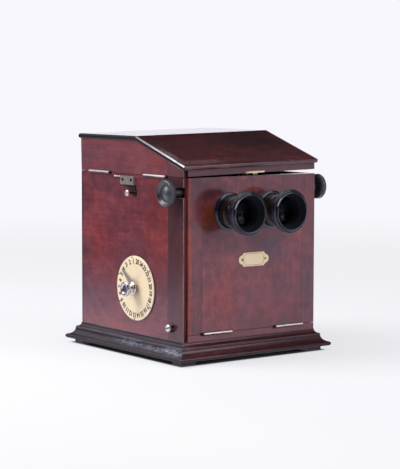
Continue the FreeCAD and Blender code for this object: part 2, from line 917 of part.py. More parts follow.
nameplate_centre = 4.4
nameplate_height = 92.4
nameplate_body = 35.0
nameplate_tall = 16.6
nameplate_ear_radius = 5.3
nameplate_thickness = 0.8


def nameplate_nail_x():
    return (nameplate_centre - 17.6, nameplate_centre + 17.6)


def nameplate():
    """A bare brass plate with a rounded ear at each end."""
    z = up(nameplate_height)
    y0 = front - nameplate_thickness
    half = nameplate_body / 2
    tall = nameplate_tall / 2
    plate = box(nameplate_centre - half, nameplate_centre + half, y0, front, z - tall, z + tall)
    for side in (-1, 1):
        corner_x = nameplate_centre + side * (half + 0.4)
        for end in (-1, 1):
            plate = plate.cut(rod_y(corner_x, y0 - 1, front + 1, z + end * (tall + 0.4), 2.4))
        plate = plate.fuse(rod_y(nameplate_centre + side * half, y0, front, z, nameplate_ear_radius))
    holes = [rod_y(x, y0 - 1, front + 1, z, 0.6) for x in nameplate_nail_x()]
    return plate.cut(holes).removeSplitter()


def nameplate_nails():
    outline = [(-3.0, 0), (-3.0, 0.6), (nameplate_thickness, 0.6), (nameplate_thickness, 1.3),
               (nameplate_thickness + 0.4, 1.0), (nameplate_thickness + 0.6, 0)]
    return group([turned(outline, Vector(x, front, up(nameplate_height)), Vector(0, -1, 0),
                         Vector(1, 0, 0)) for x in nameplate_nail_x()])


def at_each_eye(outline):
    """A turned piece on each eye's axis. Distances run forward from the case's front face."""
    return group([turned(outline, Vector(x, front, eye_z), Vector(0, -1, 0), Vector(1, 0, 0))
                  for x in (-eye_spacing / 2, eye_spacing / 2)])


def eyepiece_flanges():
    bore = tube_radius + running_clearance
    proud = flange_proud
    outline = [(-board, bore), (-board, flange_spigot), (0, flange_spigot), (0, flange_radius),
               (proud - 1.4, flange_radius), (proud - 0.6, flange_radius - 0.5),
               (proud, flange_radius - 1.6), (proud, bore)]
    return at_each_eye(outline)


def eyepiece_tubes():
    outline = [(-tube_back, tube_bore), (-tube_back, tube_radius), (-tube_front, tube_radius),
               (-tube_front, tube_bore)]
    return at_each_eye(outline)


def eyecups():
    r = eyecup_radius
    reach = eyecup_reach
    outline = [(25.5, tube_radius), (25.5, 20.2), (28.6, 20.4), (30.4, 22.2), (31.6, 24.6),
               (33.0, 25.6), (35.0, 25.9), (35.6, 25.0), (36.4, 25.0), (36.9, r - 0.1),
               (38.8, r), (reach - 0.2, r - 0.6), (reach, r - 1.6), (reach, eyecup_mouth + 0.6),
               (reach - 0.5, eyecup_mouth), (reach - 1.4, eyecup_mouth - 0.6),
               (-tube_front, tube_bore), (-tube_front, tube_radius)]
    return at_each_eye(outline)


lens_centre = 18.0
lens_edge = 3.0
lens_bulge = 2.4


def eyepiece_lenses():
    """A biconvex lens in each tube."""
    steps = 6
    radii = [tube_bore * step / steps for step in range(steps + 1)]
    front_side = [(lens_centre + lens_edge / 2 + lens_bulge * (1 - (r / tube_bore) ** 2), r)
                  for r in radii]
    back_side = [(2 * lens_centre - along, r) for along, r in reversed(front_side)]
    return at_each_eye(front_side + back_side)


carriage_near = 17.0
carriage_thickness = 3.0
carriage_notch = 6.0
rack_body = 5.0
focus_rack_near = 6.3
focus_rack_far = 31.0


def lens_carriage():
    """The plate behind the door that joins the two tubes."""
    half_width = eye_spacing / 2 + tube_radius + 3.4
    half_height = tube_radius + 2.4
    plate = box(-half_width, half_width, at(carriage_near), at(carriage_near + carriage_thickness),
                eye_z - half_height, eye_z + half_height)
    holes = [rod_y(x, at(carriage_near) - 1, at(carriage_near + carriage_thickness) + 1, eye_z,
                   tube_radius) for x in (-eye_spacing / 2, eye_spacing / 2)]
    rack_low = focus_rack_low()
    holes.append(box(-carriage_notch, carriage_notch, at(carriage_near) - 1,
                     at(carriage_near + carriage_thickness) + 1, rack_low, eye_z + 60))
    return plate.cut(holes)


def focus_rack_low():
    return up(focus_height) - focus_radius - 1.25 * focus_module - rack_body


def focus_rack():
    """The toothed bar on the carriage that the focusing shaft drives."""
    pitch_z = up(focus_height) - focus_radius
    edge = rack_edge(at(focus_rack_near), at(focus_rack_far), at(focus_depth), focus_module)
    points = [Vector(-4, along, pitch_z + height) for along, height in edge]
    points.append(Vector(-4, at(focus_rack_far), focus_rack_low()))
    points.append(Vector(-4, at(focus_rack_near), focus_rack_low()))
    return prism(points, Vector(8, 0, 0))


def focus_gear():
    return gear_x(focus_module, focus_teeth, -3.5, 3.5, at(focus_depth), up(focus_height),
                  focus_shaft_radius, -math.pi / 2)


def focus_shaft():
    end = right + focus_knob_reach - 6
    return rod_x(-end, end, at(focus_depth), up(focus_height), focus_shaft_radius)


bearing_near = 72.0
bearing_far = 78.0


def focus_bearings():
    """Two brass blocks on the back of the door that carry the shaft."""
    blocks = []
    z = up(focus_height)
    for x0, x1 in ((-bearing_far, -bearing_near), (bearing_near, bearing_far)):
        block = box(x0, x1, at(board), at(focus_depth + 5), z - 7, z + 7)
        blocks.append(block.cut(rod_x(x0 - 1, x1 + 1, at(focus_depth), z,
                                      focus_shaft_radius + running_clearance)))
    return group(blocks)


def focus_knobs():
    """The two knobs: a dished face in a raised rim, a milled edge and a long neck."""
    neck_from = -16.0
    head = focus_knob_reach - focus_knob_width
    reach = focus_knob_reach
    rim = focus_knob_radius
    bore_end = reach - 6
    outline = [(neck_from, focus_shaft_radius), (neck_from, focus_neck_radius),
               (head - 1.2, focus_neck_radius), (head, 7.5), (head + 0.8, rim - 2.4),
               (head + 2.0, rim - 0.6), (head + 3.0, rim), (reach - 1.2, rim),
               (reach - 0.3, rim - 0.5), (reach, rim - 1.4), (reach - 0.2, rim - 2.3),
               (reach - 1.6, rim - 3.4), (reach - 2.2, rim - 5.4), (reach - 1.9, 7.6),
               (reach - 1.1, 4.4), (reach - 0.8, 0), (bore_end, 0),
               (bore_end, focus_shaft_radius)]
    knobs = []
    for x, direction in ((left, -1), (right, 1)):
        knobs.append(turned(outline, Vector(x, at(focus_depth), up(focus_height)),
                            Vector(direction, 0, 0), Vector(0, 1, 0)))
    return group(knobs)


# Lid, modelled shut and then opened to the angle at rest
def ajar(shape):
    """Turns a piece of the lid from shut to the angle at which the lid rests."""
    shape.rotate(Vector(left - barrel_proud, 0, joint_z), Vector(0, -1, 0), lid_ajar_degrees)
    return shape


lid_bottom = joint_z + joint_gap / 2
lid_slope = (lid_ridge_height - lid_front_height) / lid_ridge_depth


def lid_under(depth):
    """Height of the boards' underside above the case, at a distance behind the front face."""
    return joint_z + lid_front_height + lid_slope * min(depth, lid_ridge_depth)


def side_shape(x, depth0, depth1, bottom):
    """Outline of a lid side between two depths, up to the boards."""
    points = [Vector(x, at(depth0), bottom), Vector(x, at(depth1), bottom),
              Vector(x, at(depth1), lid_under(depth1))]
    if depth0 < lid_ridge_depth < depth1:
        points.append(Vector(x, at(lid_ridge_depth), lid_under(lid_ridge_depth)))
    points.append(Vector(x, at(depth0), lid_under(depth0)))
    return points


def lid_side_walls():
    left_wall = prism(side_shape(left, side_stile_width, body_depth, lid_bottom), Vector(board, 0, 0))
    left_wall = left_wall.cut(lid_hinge_recesses(joint_z - 1, lid_bottom + leaf_thickness))
    right_wall = prism(side_shape(inner_right, side_stile_width, body_depth, lid_bottom),
                       Vector(board, 0, 0))
    return ajar(group([left_wall, right_wall]))


def lid_side_stiles():
    tall = lid_ridge_height
    left_stile = prism(corner_outline(lid_bottom), Vector(0, 0, tall))
    under_boards = prism(side_shape(left, 0, side_stile_width, lid_bottom), Vector(board, 0, 0))
    right_stile = prism(side_shape(inner_right, rail_depth, side_stile_width, lid_bottom),
                        Vector(board, 0, 0))
    return ajar(group([left_stile.common(under_boards), right_stile]))


def lid_front_rail():
    points = side_shape(door_left, 0, rail_depth, joint_z + lid_rail_gap)
    return ajar(prism(points, Vector(right - door_left, 0, 0)))


def lid_back_rail():
    points = side_shape(inner_left, body_depth - board, body_depth, lid_bottom)
    return ajar(prism(points, Vector(inner_right - inner_left, 0, 0)))


def board_edges(shape):
    """Edges of a lid board on its outer sides: left, right, and its front or back end."""
    x0 = left - lid_side_overhang
    x1 = right + lid_side_overhang
    y0 = at(-lid_overhang)
    y1 = at(body_depth + lid_overhang)
    picked = []
    for edge in shape.Edges:
        bounds = edge.BoundBox
        at_side = max(abs(bounds.XMin - x0), abs(bounds.XMax - x0)) < 1e-4
        at_side = at_side or max(abs(bounds.XMin - x1), abs(bounds.XMax - x1)) < 1e-4
        at_front = abs(bounds.YMax - y0) < lid_board_thickness and bounds.XLength > 50
        at_back = abs(bounds.YMin - y1) < 1e-4 and bounds.XLength > 50
        long_enough = bounds.YLength > 50 or bounds.XLength > 50
        if long_enough and (at_side or at_front or at_back):
            picked.append(edge)
    return picked


def lid_top_board():
    low = lid_under(lid_ridge_depth)
    high = low + lid_board_thickness
    ridge_top = lid_ridge_depth - ridge_lean()
    x = left - lid_side_overhang
    points = [Vector(x, at(lid_ridge_depth), low),
              Vector(x, at(body_depth + lid_overhang), low),
              Vector(x, at(body_depth + lid_overhang), high),
              Vector(x, at(ridge_top), high)]
    plate = prism(points, Vector(body_width + 2 * lid_side_overhang, 0, 0))
    return ajar(plate.makeFillet(lid_nose_radius, board_edges(plate)))


def ridge_lean():
    """How far the joint of the two boards leans forward from bottom to top."""
    angle = math.atan(lid_slope)
    return lid_board_thickness * math.tan(angle / 2)


def lid_slope_board():
    angle = math.atan(lid_slope)
    reach = lid_ridge_depth + lid_overhang
    low_ridge = lid_under(lid_ridge_depth)
    low_front = low_ridge - lid_slope * reach
    lean = ridge_lean()
    nose_y = -lid_overhang - math.sin(angle) * lid_board_thickness
    nose_z = low_front + math.cos(angle) * lid_board_thickness
    x = left - lid_side_overhang
    points = [Vector(x, at(lid_ridge_depth), low_ridge),
              Vector(x, at(lid_ridge_depth - lean), low_ridge + lid_board_thickness),
              Vector(x, at(nose_y), nose_z),
              Vector(x, at(-lid_overhang), low_front)]
    plate = prism(points, Vector(body_width + 2 * lid_side_overhang, 0, 0))
    return ajar(plate.makeFillet(lid_nose_radius, board_edges(plate)))


catch_left = -8.6
catch_right = 20.5
tongue_left = 3.0
tongue_right = 9.0


def lid_catch():
    """A thin brass strip on the lid's front rail. Its tongue holds the door when the lid is shut."""
    rail_low = joint_z + lid_rail_gap
    strip = box(catch_left, catch_right, front - 0.8, front, rail_low, rail_low + 2.2)
    tongue = box(tongue_left, tongue_right, front - 0.8, front - 0.15, case_top - 1.2, rail_low)
    return ajar(strip.fuse(tongue).removeSplitter())


def lid_hinge_leaves():
    return ajar(group([lid_leaf(start, True) for start in lid_hinge_starts]))


def door_hinge_leaves():
    return group([door_leaf(start, True) for start in door_hinge_starts])


door_panel_solid, door_left_solid, door_right_solid = door_boards()

nodes = {
    "base_board": base_board(),
    "base_moulding_front": base_moulding("front"),
    "base_moulding_back": base_moulding("back"),
    "base_moulding_sides": group([base_moulding("left"), base_moulding("right")]),
    "corner_feet": corner_feet(),
    "left_side_panel": left_side_panel(),
    "right_side_panel": right_side_panel(),
    "side_stiles": side_stiles(),
    "back_panel": back_panel(),
    "ground_glass": ground_glass(),
    "glass_beads": glass_beads(),
    "bottom_rail": bottom_rail(),
    "gate_board": gate_board(),
    "lift_guides": lift_guides(),
    "light_baffle": light_baffle(),
    "septum": septum(),
    "tray_runners": tray_runners(),
    "spindle_bushes": spindle_bushes(),
    "hinge_fixed_leaves": hinge_fixed_leaves(),
    "hinge_pins": hinge_pins(),
    "dial_disc": dial_disc(),
    "dial_nails": dial_nails(),
    "release_plate": release_plate(),
    "release_leaf": release_leaf(),
    "keeper_wire": keeper_wire(),
    "side_collar": side_collar(),
    "side_screws": side_screws(),
    "release_button": release_button(),
    "selector_spindle": selector_spindle(),
    "selector_pointer": selector_pointer(),
    "selector_knob": selector_knob(),
    "selector_gear": selector_gear(),
    "slide_tray": slide_tray(),
    "tray_rack": tray_rack(),
    "crank_spindle": crank_spindle(),
    "crank_arm": crank_arm(),
    "crank_knob": crank_knob(),
    "lift_gear": lift_gear(),
    "lift_frame": lift_frame(),
    "door_panel": door_panel_solid,
    "door_stiles": group([door_left_solid, door_right_solid]),
    "door_hinge_leaves": door_hinge_leaves(),
    "nameplate": nameplate(),
    "nameplate_nails": nameplate_nails(),
    "eyepiece_flanges": eyepiece_flanges(),
    "focus_bearings": focus_bearings(),
    "eyepiece_tubes": eyepiece_tubes(),
    "eyecups": eyecups(),
    "eyepiece_lenses": eyepiece_lenses(),
    "lens_carriage": lens_carriage(),
    "focus_rack": focus_rack(),
    "focus_shaft": focus_shaft(),
    "focus_gear": focus_gear(),
    "focus_knobs": focus_knobs(),
    "lid_side_walls": lid_side_walls(),
    "lid_side_stiles": lid_side_stiles(),
    "lid_rails": group([lid_front_rail(), lid_back_rail()]),
    "lid_boards": group([lid_slope_board(), lid_top_board()]),
    "lid_catch": lid_catch(),
    "lid_hinge_leaves": lid_hinge_leaves(),
}

os.makedirs("parts", exist_ok=True)
for name, shape in nodes.items():
    if not shape.isValid() or shape.Volume <= 0:
        raise ValueError(name + " isn't a sound solid")
    shape.exportStep("parts/" + name + ".step")
    print(name, len(shape.Solids), round(shape.Volume, 1))
print(len(nodes), "nodes")
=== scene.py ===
"""The looks of a wooden tabletop stereo viewer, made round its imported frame."""

import json
import math

import bmesh
import bpy
from bpy.props import FloatProperty, FloatVectorProperty, IntProperty, PointerProperty
from mathutils import Euler, Matrix, Vector


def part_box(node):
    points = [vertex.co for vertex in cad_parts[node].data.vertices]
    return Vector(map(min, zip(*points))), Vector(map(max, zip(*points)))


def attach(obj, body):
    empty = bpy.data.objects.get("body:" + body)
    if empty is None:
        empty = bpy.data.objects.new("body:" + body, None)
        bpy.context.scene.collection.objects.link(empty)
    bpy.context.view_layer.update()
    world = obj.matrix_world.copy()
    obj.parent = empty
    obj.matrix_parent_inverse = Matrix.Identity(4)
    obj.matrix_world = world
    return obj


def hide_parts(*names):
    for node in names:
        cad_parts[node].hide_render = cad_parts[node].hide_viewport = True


bl_info = {
    "name": "Tabletop stereo viewer",
    "version": (1, 0, 0),
    "blender": (4, 5, 0),
    "location": "View3D > Sidebar > Viewer",
    "description": "Makes the finished pieces of a wooden tabletop stereo viewer",
    "category": "Object",
}

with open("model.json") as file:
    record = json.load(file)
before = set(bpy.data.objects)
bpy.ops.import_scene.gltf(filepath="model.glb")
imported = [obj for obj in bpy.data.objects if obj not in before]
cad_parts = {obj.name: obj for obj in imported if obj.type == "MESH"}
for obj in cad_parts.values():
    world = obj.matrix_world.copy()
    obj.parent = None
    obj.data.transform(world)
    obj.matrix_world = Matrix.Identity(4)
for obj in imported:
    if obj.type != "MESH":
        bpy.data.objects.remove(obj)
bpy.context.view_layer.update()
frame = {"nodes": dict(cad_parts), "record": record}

MM = 0.001
QUARTER_TURN = math.radians(90)
X, Y, Z = Vector((1, 0, 0)), Vector((0, 1, 0)), Vector((0, 0, 1))

# Points closer than this, in metres, are one point
TOUCHING = 1e-6


# Settings

class WoodSettings(bpy.types.PropertyGroup):
    """Colours and edges of the wooden pieces."""
    dark: FloatVectorProperty(name="Dark grain", description="Colour of the darkest fibres",
                              subtype="COLOR", size=3, default=(0.115, 0.017, 0.030))
    middle: FloatVectorProperty(name="Wood", description="Main colour of the varnished wood",
                                subtype="COLOR", size=3, default=(0.190, 0.029, 0.041))
    light: FloatVectorProperty(name="Light grain", description="Colour of the lightest fibres",
                               subtype="COLOR", size=3, default=(0.285, 0.050, 0.050))
    edge: FloatProperty(name="Edge radius", description="How far the boards' edges are rounded",
                        unit="LENGTH", default=0.5 * MM, min=0.1 * MM, max=1.5 * MM)
    gloss: FloatProperty(name="Varnish roughness", description="Roughness of the varnish",
                         subtype="FACTOR", default=0.16, min=0, max=1)


class EyepieceSettings(bpy.types.PropertyGroup):
    """Sizes of the eyepieces' threads and of the knobs' milled edges."""
    thread_pitch: FloatProperty(name="Thread pitch", description="Distance between thread turns",
                                unit="LENGTH", default=1.8 * MM, min=0.3 * MM)
    ridges: IntProperty(name="Milled ridges", description="Ridges round one focusing knob",
                        default=90, min=12)


class DialSettings(bpy.types.PropertyGroup):
    """The dial's numbers and colour."""
    numbers: IntProperty(name="Numbers", description="How many slides the dial counts",
                         default=25, min=2)
    number_height: FloatProperty(name="Number height", description="Height of a number",
                                 unit="LENGTH", default=5.8 * MM, min=1 * MM)
    paper: FloatVectorProperty(name="Dial", description="Colour of the dial", subtype="COLOR",
                               size=3, default=(0.92, 0.75, 0.50))


class StageSettings(bpy.types.PropertyGroup):
    """Lights and surroundings."""
    key: FloatProperty(name="Side light", description="Power of the light above and to the left",
                       unit="POWER", default=24.0, min=0)
    fill: FloatProperty(name="Front light", description="Power of the soft light in front",
                        unit="POWER", default=20.0, min=0)
    top: FloatProperty(name="Top light", description="Power of the light overhead",
                       unit="POWER", default=6.0, min=0)
    ambient: FloatProperty(name="Room light", description="Strength of the light all round",
                           default=0.30, min=0)


# Nodes

class Wire:
    """A socket that gives a value. Arithmetic on it adds Math nodes."""

    def __init__(self, nodes, socket):
        self.nodes = nodes
        self.socket = socket

    def maths(self, operation, *values):
        sockets = dict(enumerate(values))
        return self.nodes.node("ShaderNodeMath", {"operation": operation}, sockets)[0]

    def __add__(self, other):
        return self.maths("ADD", self, other)

    def __radd__(self, other):
        return self.maths("ADD", other, self)

    def __sub__(self, other):
        return self.maths("SUBTRACT", self, other)

    def __rsub__(self, other):
        return self.maths("SUBTRACT", other, self)

    def __mul__(self, other):
        return self.maths("MULTIPLY", self, other)

    def __rmul__(self, other):
        return self.maths("MULTIPLY", other, self)

    def __pow__(self, other):
        return self.maths("POWER", self, other)

    def size(self):
        return self.maths("ABSOLUTE", self)

    def most(self, other):
        return self.maths("MAXIMUM", self, other)

    def ramp(self, low, high):
        """0 below low, 1 above high, and a smooth step between."""
        sockets = {"Value": self, "From Min": low, "From Max": high}
        settings = {"interpolation_type": "SMOOTHSTEP"}
        return self.nodes.node("ShaderNodeMapRange", settings, sockets)[0]


class Added:
    """A node that was added. Its outputs are read as wires, by name or number."""

    def __init__(self, nodes, made):
        self.nodes = nodes
        self.made = made

    def __getitem__(self, key):
        return Wire(self.nodes, self.made.outputs[key])


class Nodes:
    """A node tree, and short ways to add nodes to it."""

    def __init__(self, tree):
        self.tree = tree

    def put(self, socket, value):
        """Links a wire to a socket, or sets the socket's own value."""
        if isinstance(value, Wire):
            self.tree.links.new(value.socket, socket)
        elif socket.type == "RGBA" and len(value) == 3:
            socket.default_value = (*value, 1.0)
        else:
            socket.default_value = value

    def node(self, kind, settings=None, sockets=None):
        """Adds one node: its settings first, then the values or wires of its sockets."""
        made = self.tree.nodes.new(kind)
        for key, value in (settings or {}).items():
            if key == "stops":
                stops = made.color_ramp.elements
                while len(stops) < len(value):
                    stops.new(0.5)
                for stop, (place, colour) in zip(stops, value):
                    stop.position = place
                    stop.color = (*colour, 1.0)
            else:
                setattr(made, key, value)
        for key, value in (sockets or {}).items():
            self.put(made.inputs[key], value)
        return Added(self, made)

    def parts(self, vector):
        split = self.node("ShaderNodeSeparateXYZ", None, {0: vector})
        return split[0], split[1], split[2]

    def noise(self, vector, scale, detail=2.0, roughness=0.5, distortion=0.0):
        sockets = {"Vector": vector, "Scale": scale, "Detail": detail, "Roughness": roughness,
                   "Distortion": distortion}
        return self.node("ShaderNodeTexNoise", None, sockets)[0]

    def blend(self, factor, first, second, kind="MIX"):
        settings = {"data_type": "RGBA", "blend_type": kind}
        return self.node("ShaderNodeMix", settings, {0: factor, 6: first, 7: second})[2]

    def colours(self, value, *stops):
        return self.node("ShaderNodeValToRGB", {"stops": stops}, {0: value})[0]

    def emission(self, colour):
        return self.node("ShaderNodeEmission", None, {"Color": colour})[0]

    def either(self, factor, first, second):
        """The first shader where the factor is 0, and the second where it is 1."""
        return self.node("ShaderNodeMixShader", None, {0: factor, 1: first, 2: second})[0]

    def bump(self, height, depth, strength=1.0):
        sockets = {"Strength": strength, "Distance": depth, "Height": height}
        return self.node("ShaderNodeBump", None, sockets)[0]


class Finish(Nodes):
    """A material, and short ways to feed its shader."""

    def __init__(self, name, **constants):
        self.material = bpy.data.materials.new(name)
        self.material.use_nodes = True
        super().__init__(self.material.node_tree)
        self.shader = self.tree.nodes["Principled BSDF"]
        self.set(**constants)

    def set(self, **sockets):
        for name, value in sockets.items():
            self.put(self.shader.inputs[name.replace("_", " ")], value)
        return self

    def so_far(self, socket="Base Color"):
        """What feeds a socket of the shader so far."""
        return Wire(self, self.shader.inputs[socket].links[0].from_socket)

    def place(self, scale=(1, 1, 1), centre=(0, 0, 0)):
        """Object coordinates about a centre, scaled along each axis."""
        coordinates = self.node("ShaderNodeTexCoord")["Object"]
        moved = [-c * s for c, s in zip(centre, scale)]
        return self.node("ShaderNodeMapping", None,
                         {"Vector": coordinates, "Location": moved, "Scale": scale})[0]

    def height(self):
        """How high a point of the piece lies, in metres."""
        return self.parts(self.place())[2]

    def round_axis(self, centre):
        """How far a point lies along X from a centre, and how far out from that axis."""
        x, y, z = self.parts(self.place(centre=centre))
        return x, (y * y + z * z) ** 0.5

    def surface_map(self):
        """The piece's own map: turns round a turned piece, and distance along its outline."""
        return self.node("ShaderNodeUVMap", {"uv_map": "UVMap"})[0]


# Finishes

def scaled(colour, factor):
    return tuple(channel * factor for channel in colour)


def toned(colour, grey):
    """The colour drawn part of the way to a dull purple."""
    dull = (0.075, 0.040, 0.048)
    return tuple(channel * (1 - grey) + other * grey for channel, other in zip(colour, dull))


def along_grain(grain, stretch):
    """A scale that draws a pattern out along the axis of the grain."""
    scale = [1.0, 1.0, 1.0]
    scale[grain] = stretch
    return scale


def wood_finish(name, grain, tone=0.0, depth=1.0, gloss=None, coat=1.0, seed=0.0, dust=0.0,
                mottle=0.7, streaks=1.0):
    """Varnished mahogany. grain is the axis that the fibres run along."""
    wood = bpy.context.scene.viewer_wood
    dark, middle, light = [scaled(toned(colour, tone), depth)
                           for colour in (wood.dark, wood.middle, wood.light)]
    bloom_tint = toned(scaled((0.155, 0.042, 0.068), depth), tone)
    speck_tint = (0.34, 0.24, 0.21)
    scratch_tint = (0.24, 0.14, 0.14)
    finish = Finish(name, Coat_Roughness=wood.gloss if gloss is None else gloss, Coat_IOR=1.5,
                    Specular_IOR_Level=0.2)
    shift = (seed, seed * 1.7, seed * 0.6)
    plain = finish.place(centre=shift)
    fibre_place = finish.place(along_grain(grain, 0.05), shift)
    figure_place = finish.place(along_grain(grain, 0.40), shift)
    figure = finish.noise(figure_place, 17.0, 3.0, 0.6, 0.8)
    cloud = finish.noise(plain, 75.0, 4.0, 0.6)
    ribbons = finish.noise(fibre_place, 260.0, 3.0, 0.6, 0.3)
    hairs = finish.noise(fibre_place, 1100.0, 2.0, 0.6)
    grained = ribbons * (0.65 * streaks) + hairs * (0.4 * streaks)
    middling = (1.3 + mottle + 1.05 * streaks) / 2 - 0.5
    value = figure * 1.3 + cloud * mottle + grained - middling
    colour = finish.colours(value, (0.22, dark), (0.50, middle), (0.78, light))
    bloom = finish.noise(plain, 30.0, 3.0, 0.6, 0.5).ramp(0.44, 0.68)
    colour = finish.blend(bloom * 0.35, colour, bloom_tint)
    stain = finish.noise(plain, 34.0, 4.0, 0.65).ramp(0.54, 0.72)
    colour = finish.blend(stain * 0.30, colour, scaled(dark, 0.7))
    pores = finish.noise(fibre_place, 1700.0, 1.0, 0.5).ramp(0.60, 0.70)
    colour = finish.blend(pores * 0.35, colour, scaled(dark, 0.6))
    speck = finish.noise(plain, 850.0, 1.0, 0.4).ramp(0.715 - dust * 0.06, 0.78)
    colour = finish.blend(speck * 0.5, colour, speck_tint)
    if dust:
        scratches = finish.noise(fibre_place, 900.0, 2.0, 0.5).ramp(0.60, 0.68)
        patchy = finish.noise(plain, 60.0, 3.0, 0.6).ramp(0.48, 0.66)
        colour = finish.blend(scratches * patchy * dust, colour, scratch_tint)
    worn = finish.noise(plain, 260.0, 3.0, 0.7).ramp(0.58, 0.80)
    return finish.set(Base_Color=colour, Roughness=0.45 + 0.2 * ribbons,
                      Coat_Weight=coat * (1.0 - worn * 0.12),
                      Normal=finish.bump(hairs * 0.5 - pores, 0.12 * MM, 0.22))


def edge_darkened(finish, half_width, dark):
    """Darkens what lies outside half_width on either side, as on a board's dark edges."""
    x, _, _ = finish.parts(finish.place())
    mask = x.size().ramp(half_width, half_width + 0.8 * MM)
    return finish.set(Base_Color=finish.blend(mask, finish.so_far(), dark),
                      Coat_Weight=1 - mask * 0.6)


def patch_mask(finish, centre, reach, ragged=1.3):
    """1 in the middle of a patch with its centre and reach in mm, and 0 outside it."""
    scale = tuple(1 / (size * MM) for size in reach)
    offset = finish.place(scale, tuple(place * MM for place in centre))
    away = finish.node("ShaderNodeVectorMath", {"operation": "LENGTH"}, {0: offset})["Value"]
    tears = (finish.noise(finish.place(), 40.0, 4.0, 0.6) - 0.5) * ragged
    return 1 - (away + tears).ramp(0.35, 1.15)


def stained(finish, patches):
    """Tints soft ragged patches, each with its centre, reach, tint and strength."""
    colour = finish.so_far()
    for centre, reach, tint, strength in patches:
        mask = patch_mask(finish, centre, reach)
        colour = finish.blend(mask * strength, colour, tint, "MULTIPLY")
    return finish.set(Base_Color=colour)


def scuffed(finish, patches, stretch=(1, 1, 1), fineness=380.0):
    """Scatters pale flecks over patches, each with its centre, reach, colour and strength: real
    scuffs on the lid's board, painted highlights on the mouldings.
    """
    colour = finish.so_far()
    scuffs_and_glints = finish.noise(finish.place(stretch), fineness, 4.0, 0.75, 0.6).ramp(0.44, 0.60)
    for centre, reach, pale, strength in patches:
        mask = patch_mask(finish, centre, reach, 0.7)
        colour = finish.blend(mask * scuffs_and_glints * strength, colour, pale)
    return finish.set(Base_Color=colour)


def rubbed_finish(name, grain, colour, seed=0.0):
    """A varnished edge, pale in places: partly wear from hands, partly a painted highlight where
    light catches the rounded edge.
    """
    finish = Finish(name, Coat_Weight=0.7, Coat_Roughness=0.2)
    shift = (seed, seed * 1.3, seed * 0.7)
    rub = finish.noise(finish.place(along_grain(grain, 0.25), shift), 120.0, 4.0, 0.65)
    fine = finish.noise(finish.place(centre=shift), 700.0, 2.0, 0.6)
    pale = (rub + fine * 0.25).ramp(0.42, 0.78)
    return finish.set(Base_Color=finish.blend(pale, scaled(colour, 0.25), colour),
                      Roughness=0.30 + 0.2 * fine)


def plain_wood_finish(name, colour, grain):
    """Unvarnished inside wood."""
    finish = Finish(name, Roughness=0.75, Specular_IOR_Level=0.25)
    fibres = finish.noise(finish.place(along_grain(grain, 0.06)), 420.0, 3.0, 0.6)
    blotch = finish.noise(finish.place(), 30.0, 3.0)
    shade = finish.colours(fibres * 0.7 + blotch * 0.5 - 0.1, (0.25, scaled(colour, 0.55)),
                           (0.75, scaled(colour, 1.3)))
    return finish.set(Base_Color=shade, Normal=finish.bump(fibres, 0.1 * MM, 0.6))


def black_lacquer_finish(name, worn_to=(0.36, 0.26, 0.18), wear=0.0, colour=(0.009, 0.009, 0.013),
                         roughness=0.16, rings=0.0, coat=0.5, shine=0.5):
    """Black lacquer on turned metal. Wear shows the metal in patches."""
    finish = Finish(name, Specular_IOR_Level=shine, Coat_Roughness=0.08)
    patches = finish.noise(finish.place(), 160.0, 5.0, 0.7, 0.8)
    grime = finish.noise(finish.place(), 650.0, 3.0, 0.7)
    bare = (patches + grime * 0.25).ramp(0.86 - wear, 0.93 - wear)
    dust = finish.blend(grime.ramp(0.55, 0.8) * 0.2, colour, (0.045, 0.045, 0.055))
    finish.set(Base_Color=finish.blend(bare, dust, worn_to), Metallic=bare * 0.7,
               Roughness=roughness + grime * 0.12 + bare * 0.15, Coat_Weight=coat * (1 - bare))
    if rings:
        along = finish.parts(finish.surface_map())[1]
        lathe = finish.noise(along, 2200.0, 2.0, 0.6)
        finish.set(Normal=finish.bump(lathe, 0.04 * MM, rings))
    return finish


def ebonite_finish(name, centre, outer, radius):
    """The matt blue-black of the focusing knobs, greyer on their end faces and palest at the
    middle: partly wear from fingers, partly a painted highlight.

    The greyer faces lie farther than outer from the middle of the shaft."""
    finish = Finish(name, Specular_IOR_Level=0.5, Coat_Roughness=0.34)
    x, out = finish.round_axis(centre)
    face = x.size().ramp(outer - 1 * MM, outer)
    # Painted highlight and wear: the end faces turn greyer, most of all at the middle boss.
    handled_and_highlit = face * (1 - out.ramp(0.15 * radius, 0.55 * radius) * 0.75)
    cloud = finish.noise(finish.place(), 190.0, 4.0, 0.65)
    grain = finish.noise(finish.place(), 1500.0, 2.0, 0.6)
    shade = finish.blend((cloud + grain * 0.3).ramp(0.45, 0.85), (0.010, 0.010, 0.014),
                         (0.026, 0.027, 0.036))
    shade = finish.blend(handled_and_highlit * (0.2 + cloud), shade, (0.085, 0.092, 0.115))
    return finish.set(Base_Color=shade, Roughness=0.28 + cloud * 0.12, Coat_Weight=face,
                      Normal=finish.bump(grain, 0.02 * MM, 0.6))


def matt_black_finish(name):
    """The dull black that lines the eyepieces."""
    finish = Finish(name, Specular_IOR_Level=0.08)
    nap = finish.noise(finish.place(), 1800.0, 2.0, 0.6)
    return finish.set(Base_Color=finish.blend(nap, (0.009, 0.010, 0.015), (0.012, 0.013, 0.018)),
                      Roughness=0.85 + nap * 0.1, Normal=finish.bump(nap, 0.05 * MM, 0.3))


def metal_finish(name, colour, roughness=0.28, tarnish=(0.20, 0.12, 0.06), age=0.4,
                 metallic=1.0):
    """Old metal: bright where hands touch it, dull brown in patches, with fine scratches."""
    finish = Finish(name, Metallic=metallic)
    cloud = finish.noise(finish.place(), 210.0, 5.0, 0.65, 0.5)
    speck = finish.noise(finish.place(), 1400.0, 2.0, 0.6)
    scratch = finish.noise(finish.place((1, 0.12, 1)), 2600.0, 1.0, 0.5)
    dull = (cloud * 0.75 + speck * 0.35).ramp(0.70 - age * 0.35, 0.86 - age * 0.2)
    return finish.set(Base_Color=finish.blend(dull * 0.8, colour, tarnish),
                      Roughness=roughness + dull * 0.3 + speck * 0.1,
                      Normal=finish.bump(scratch, 0.02 * MM, 0.5))


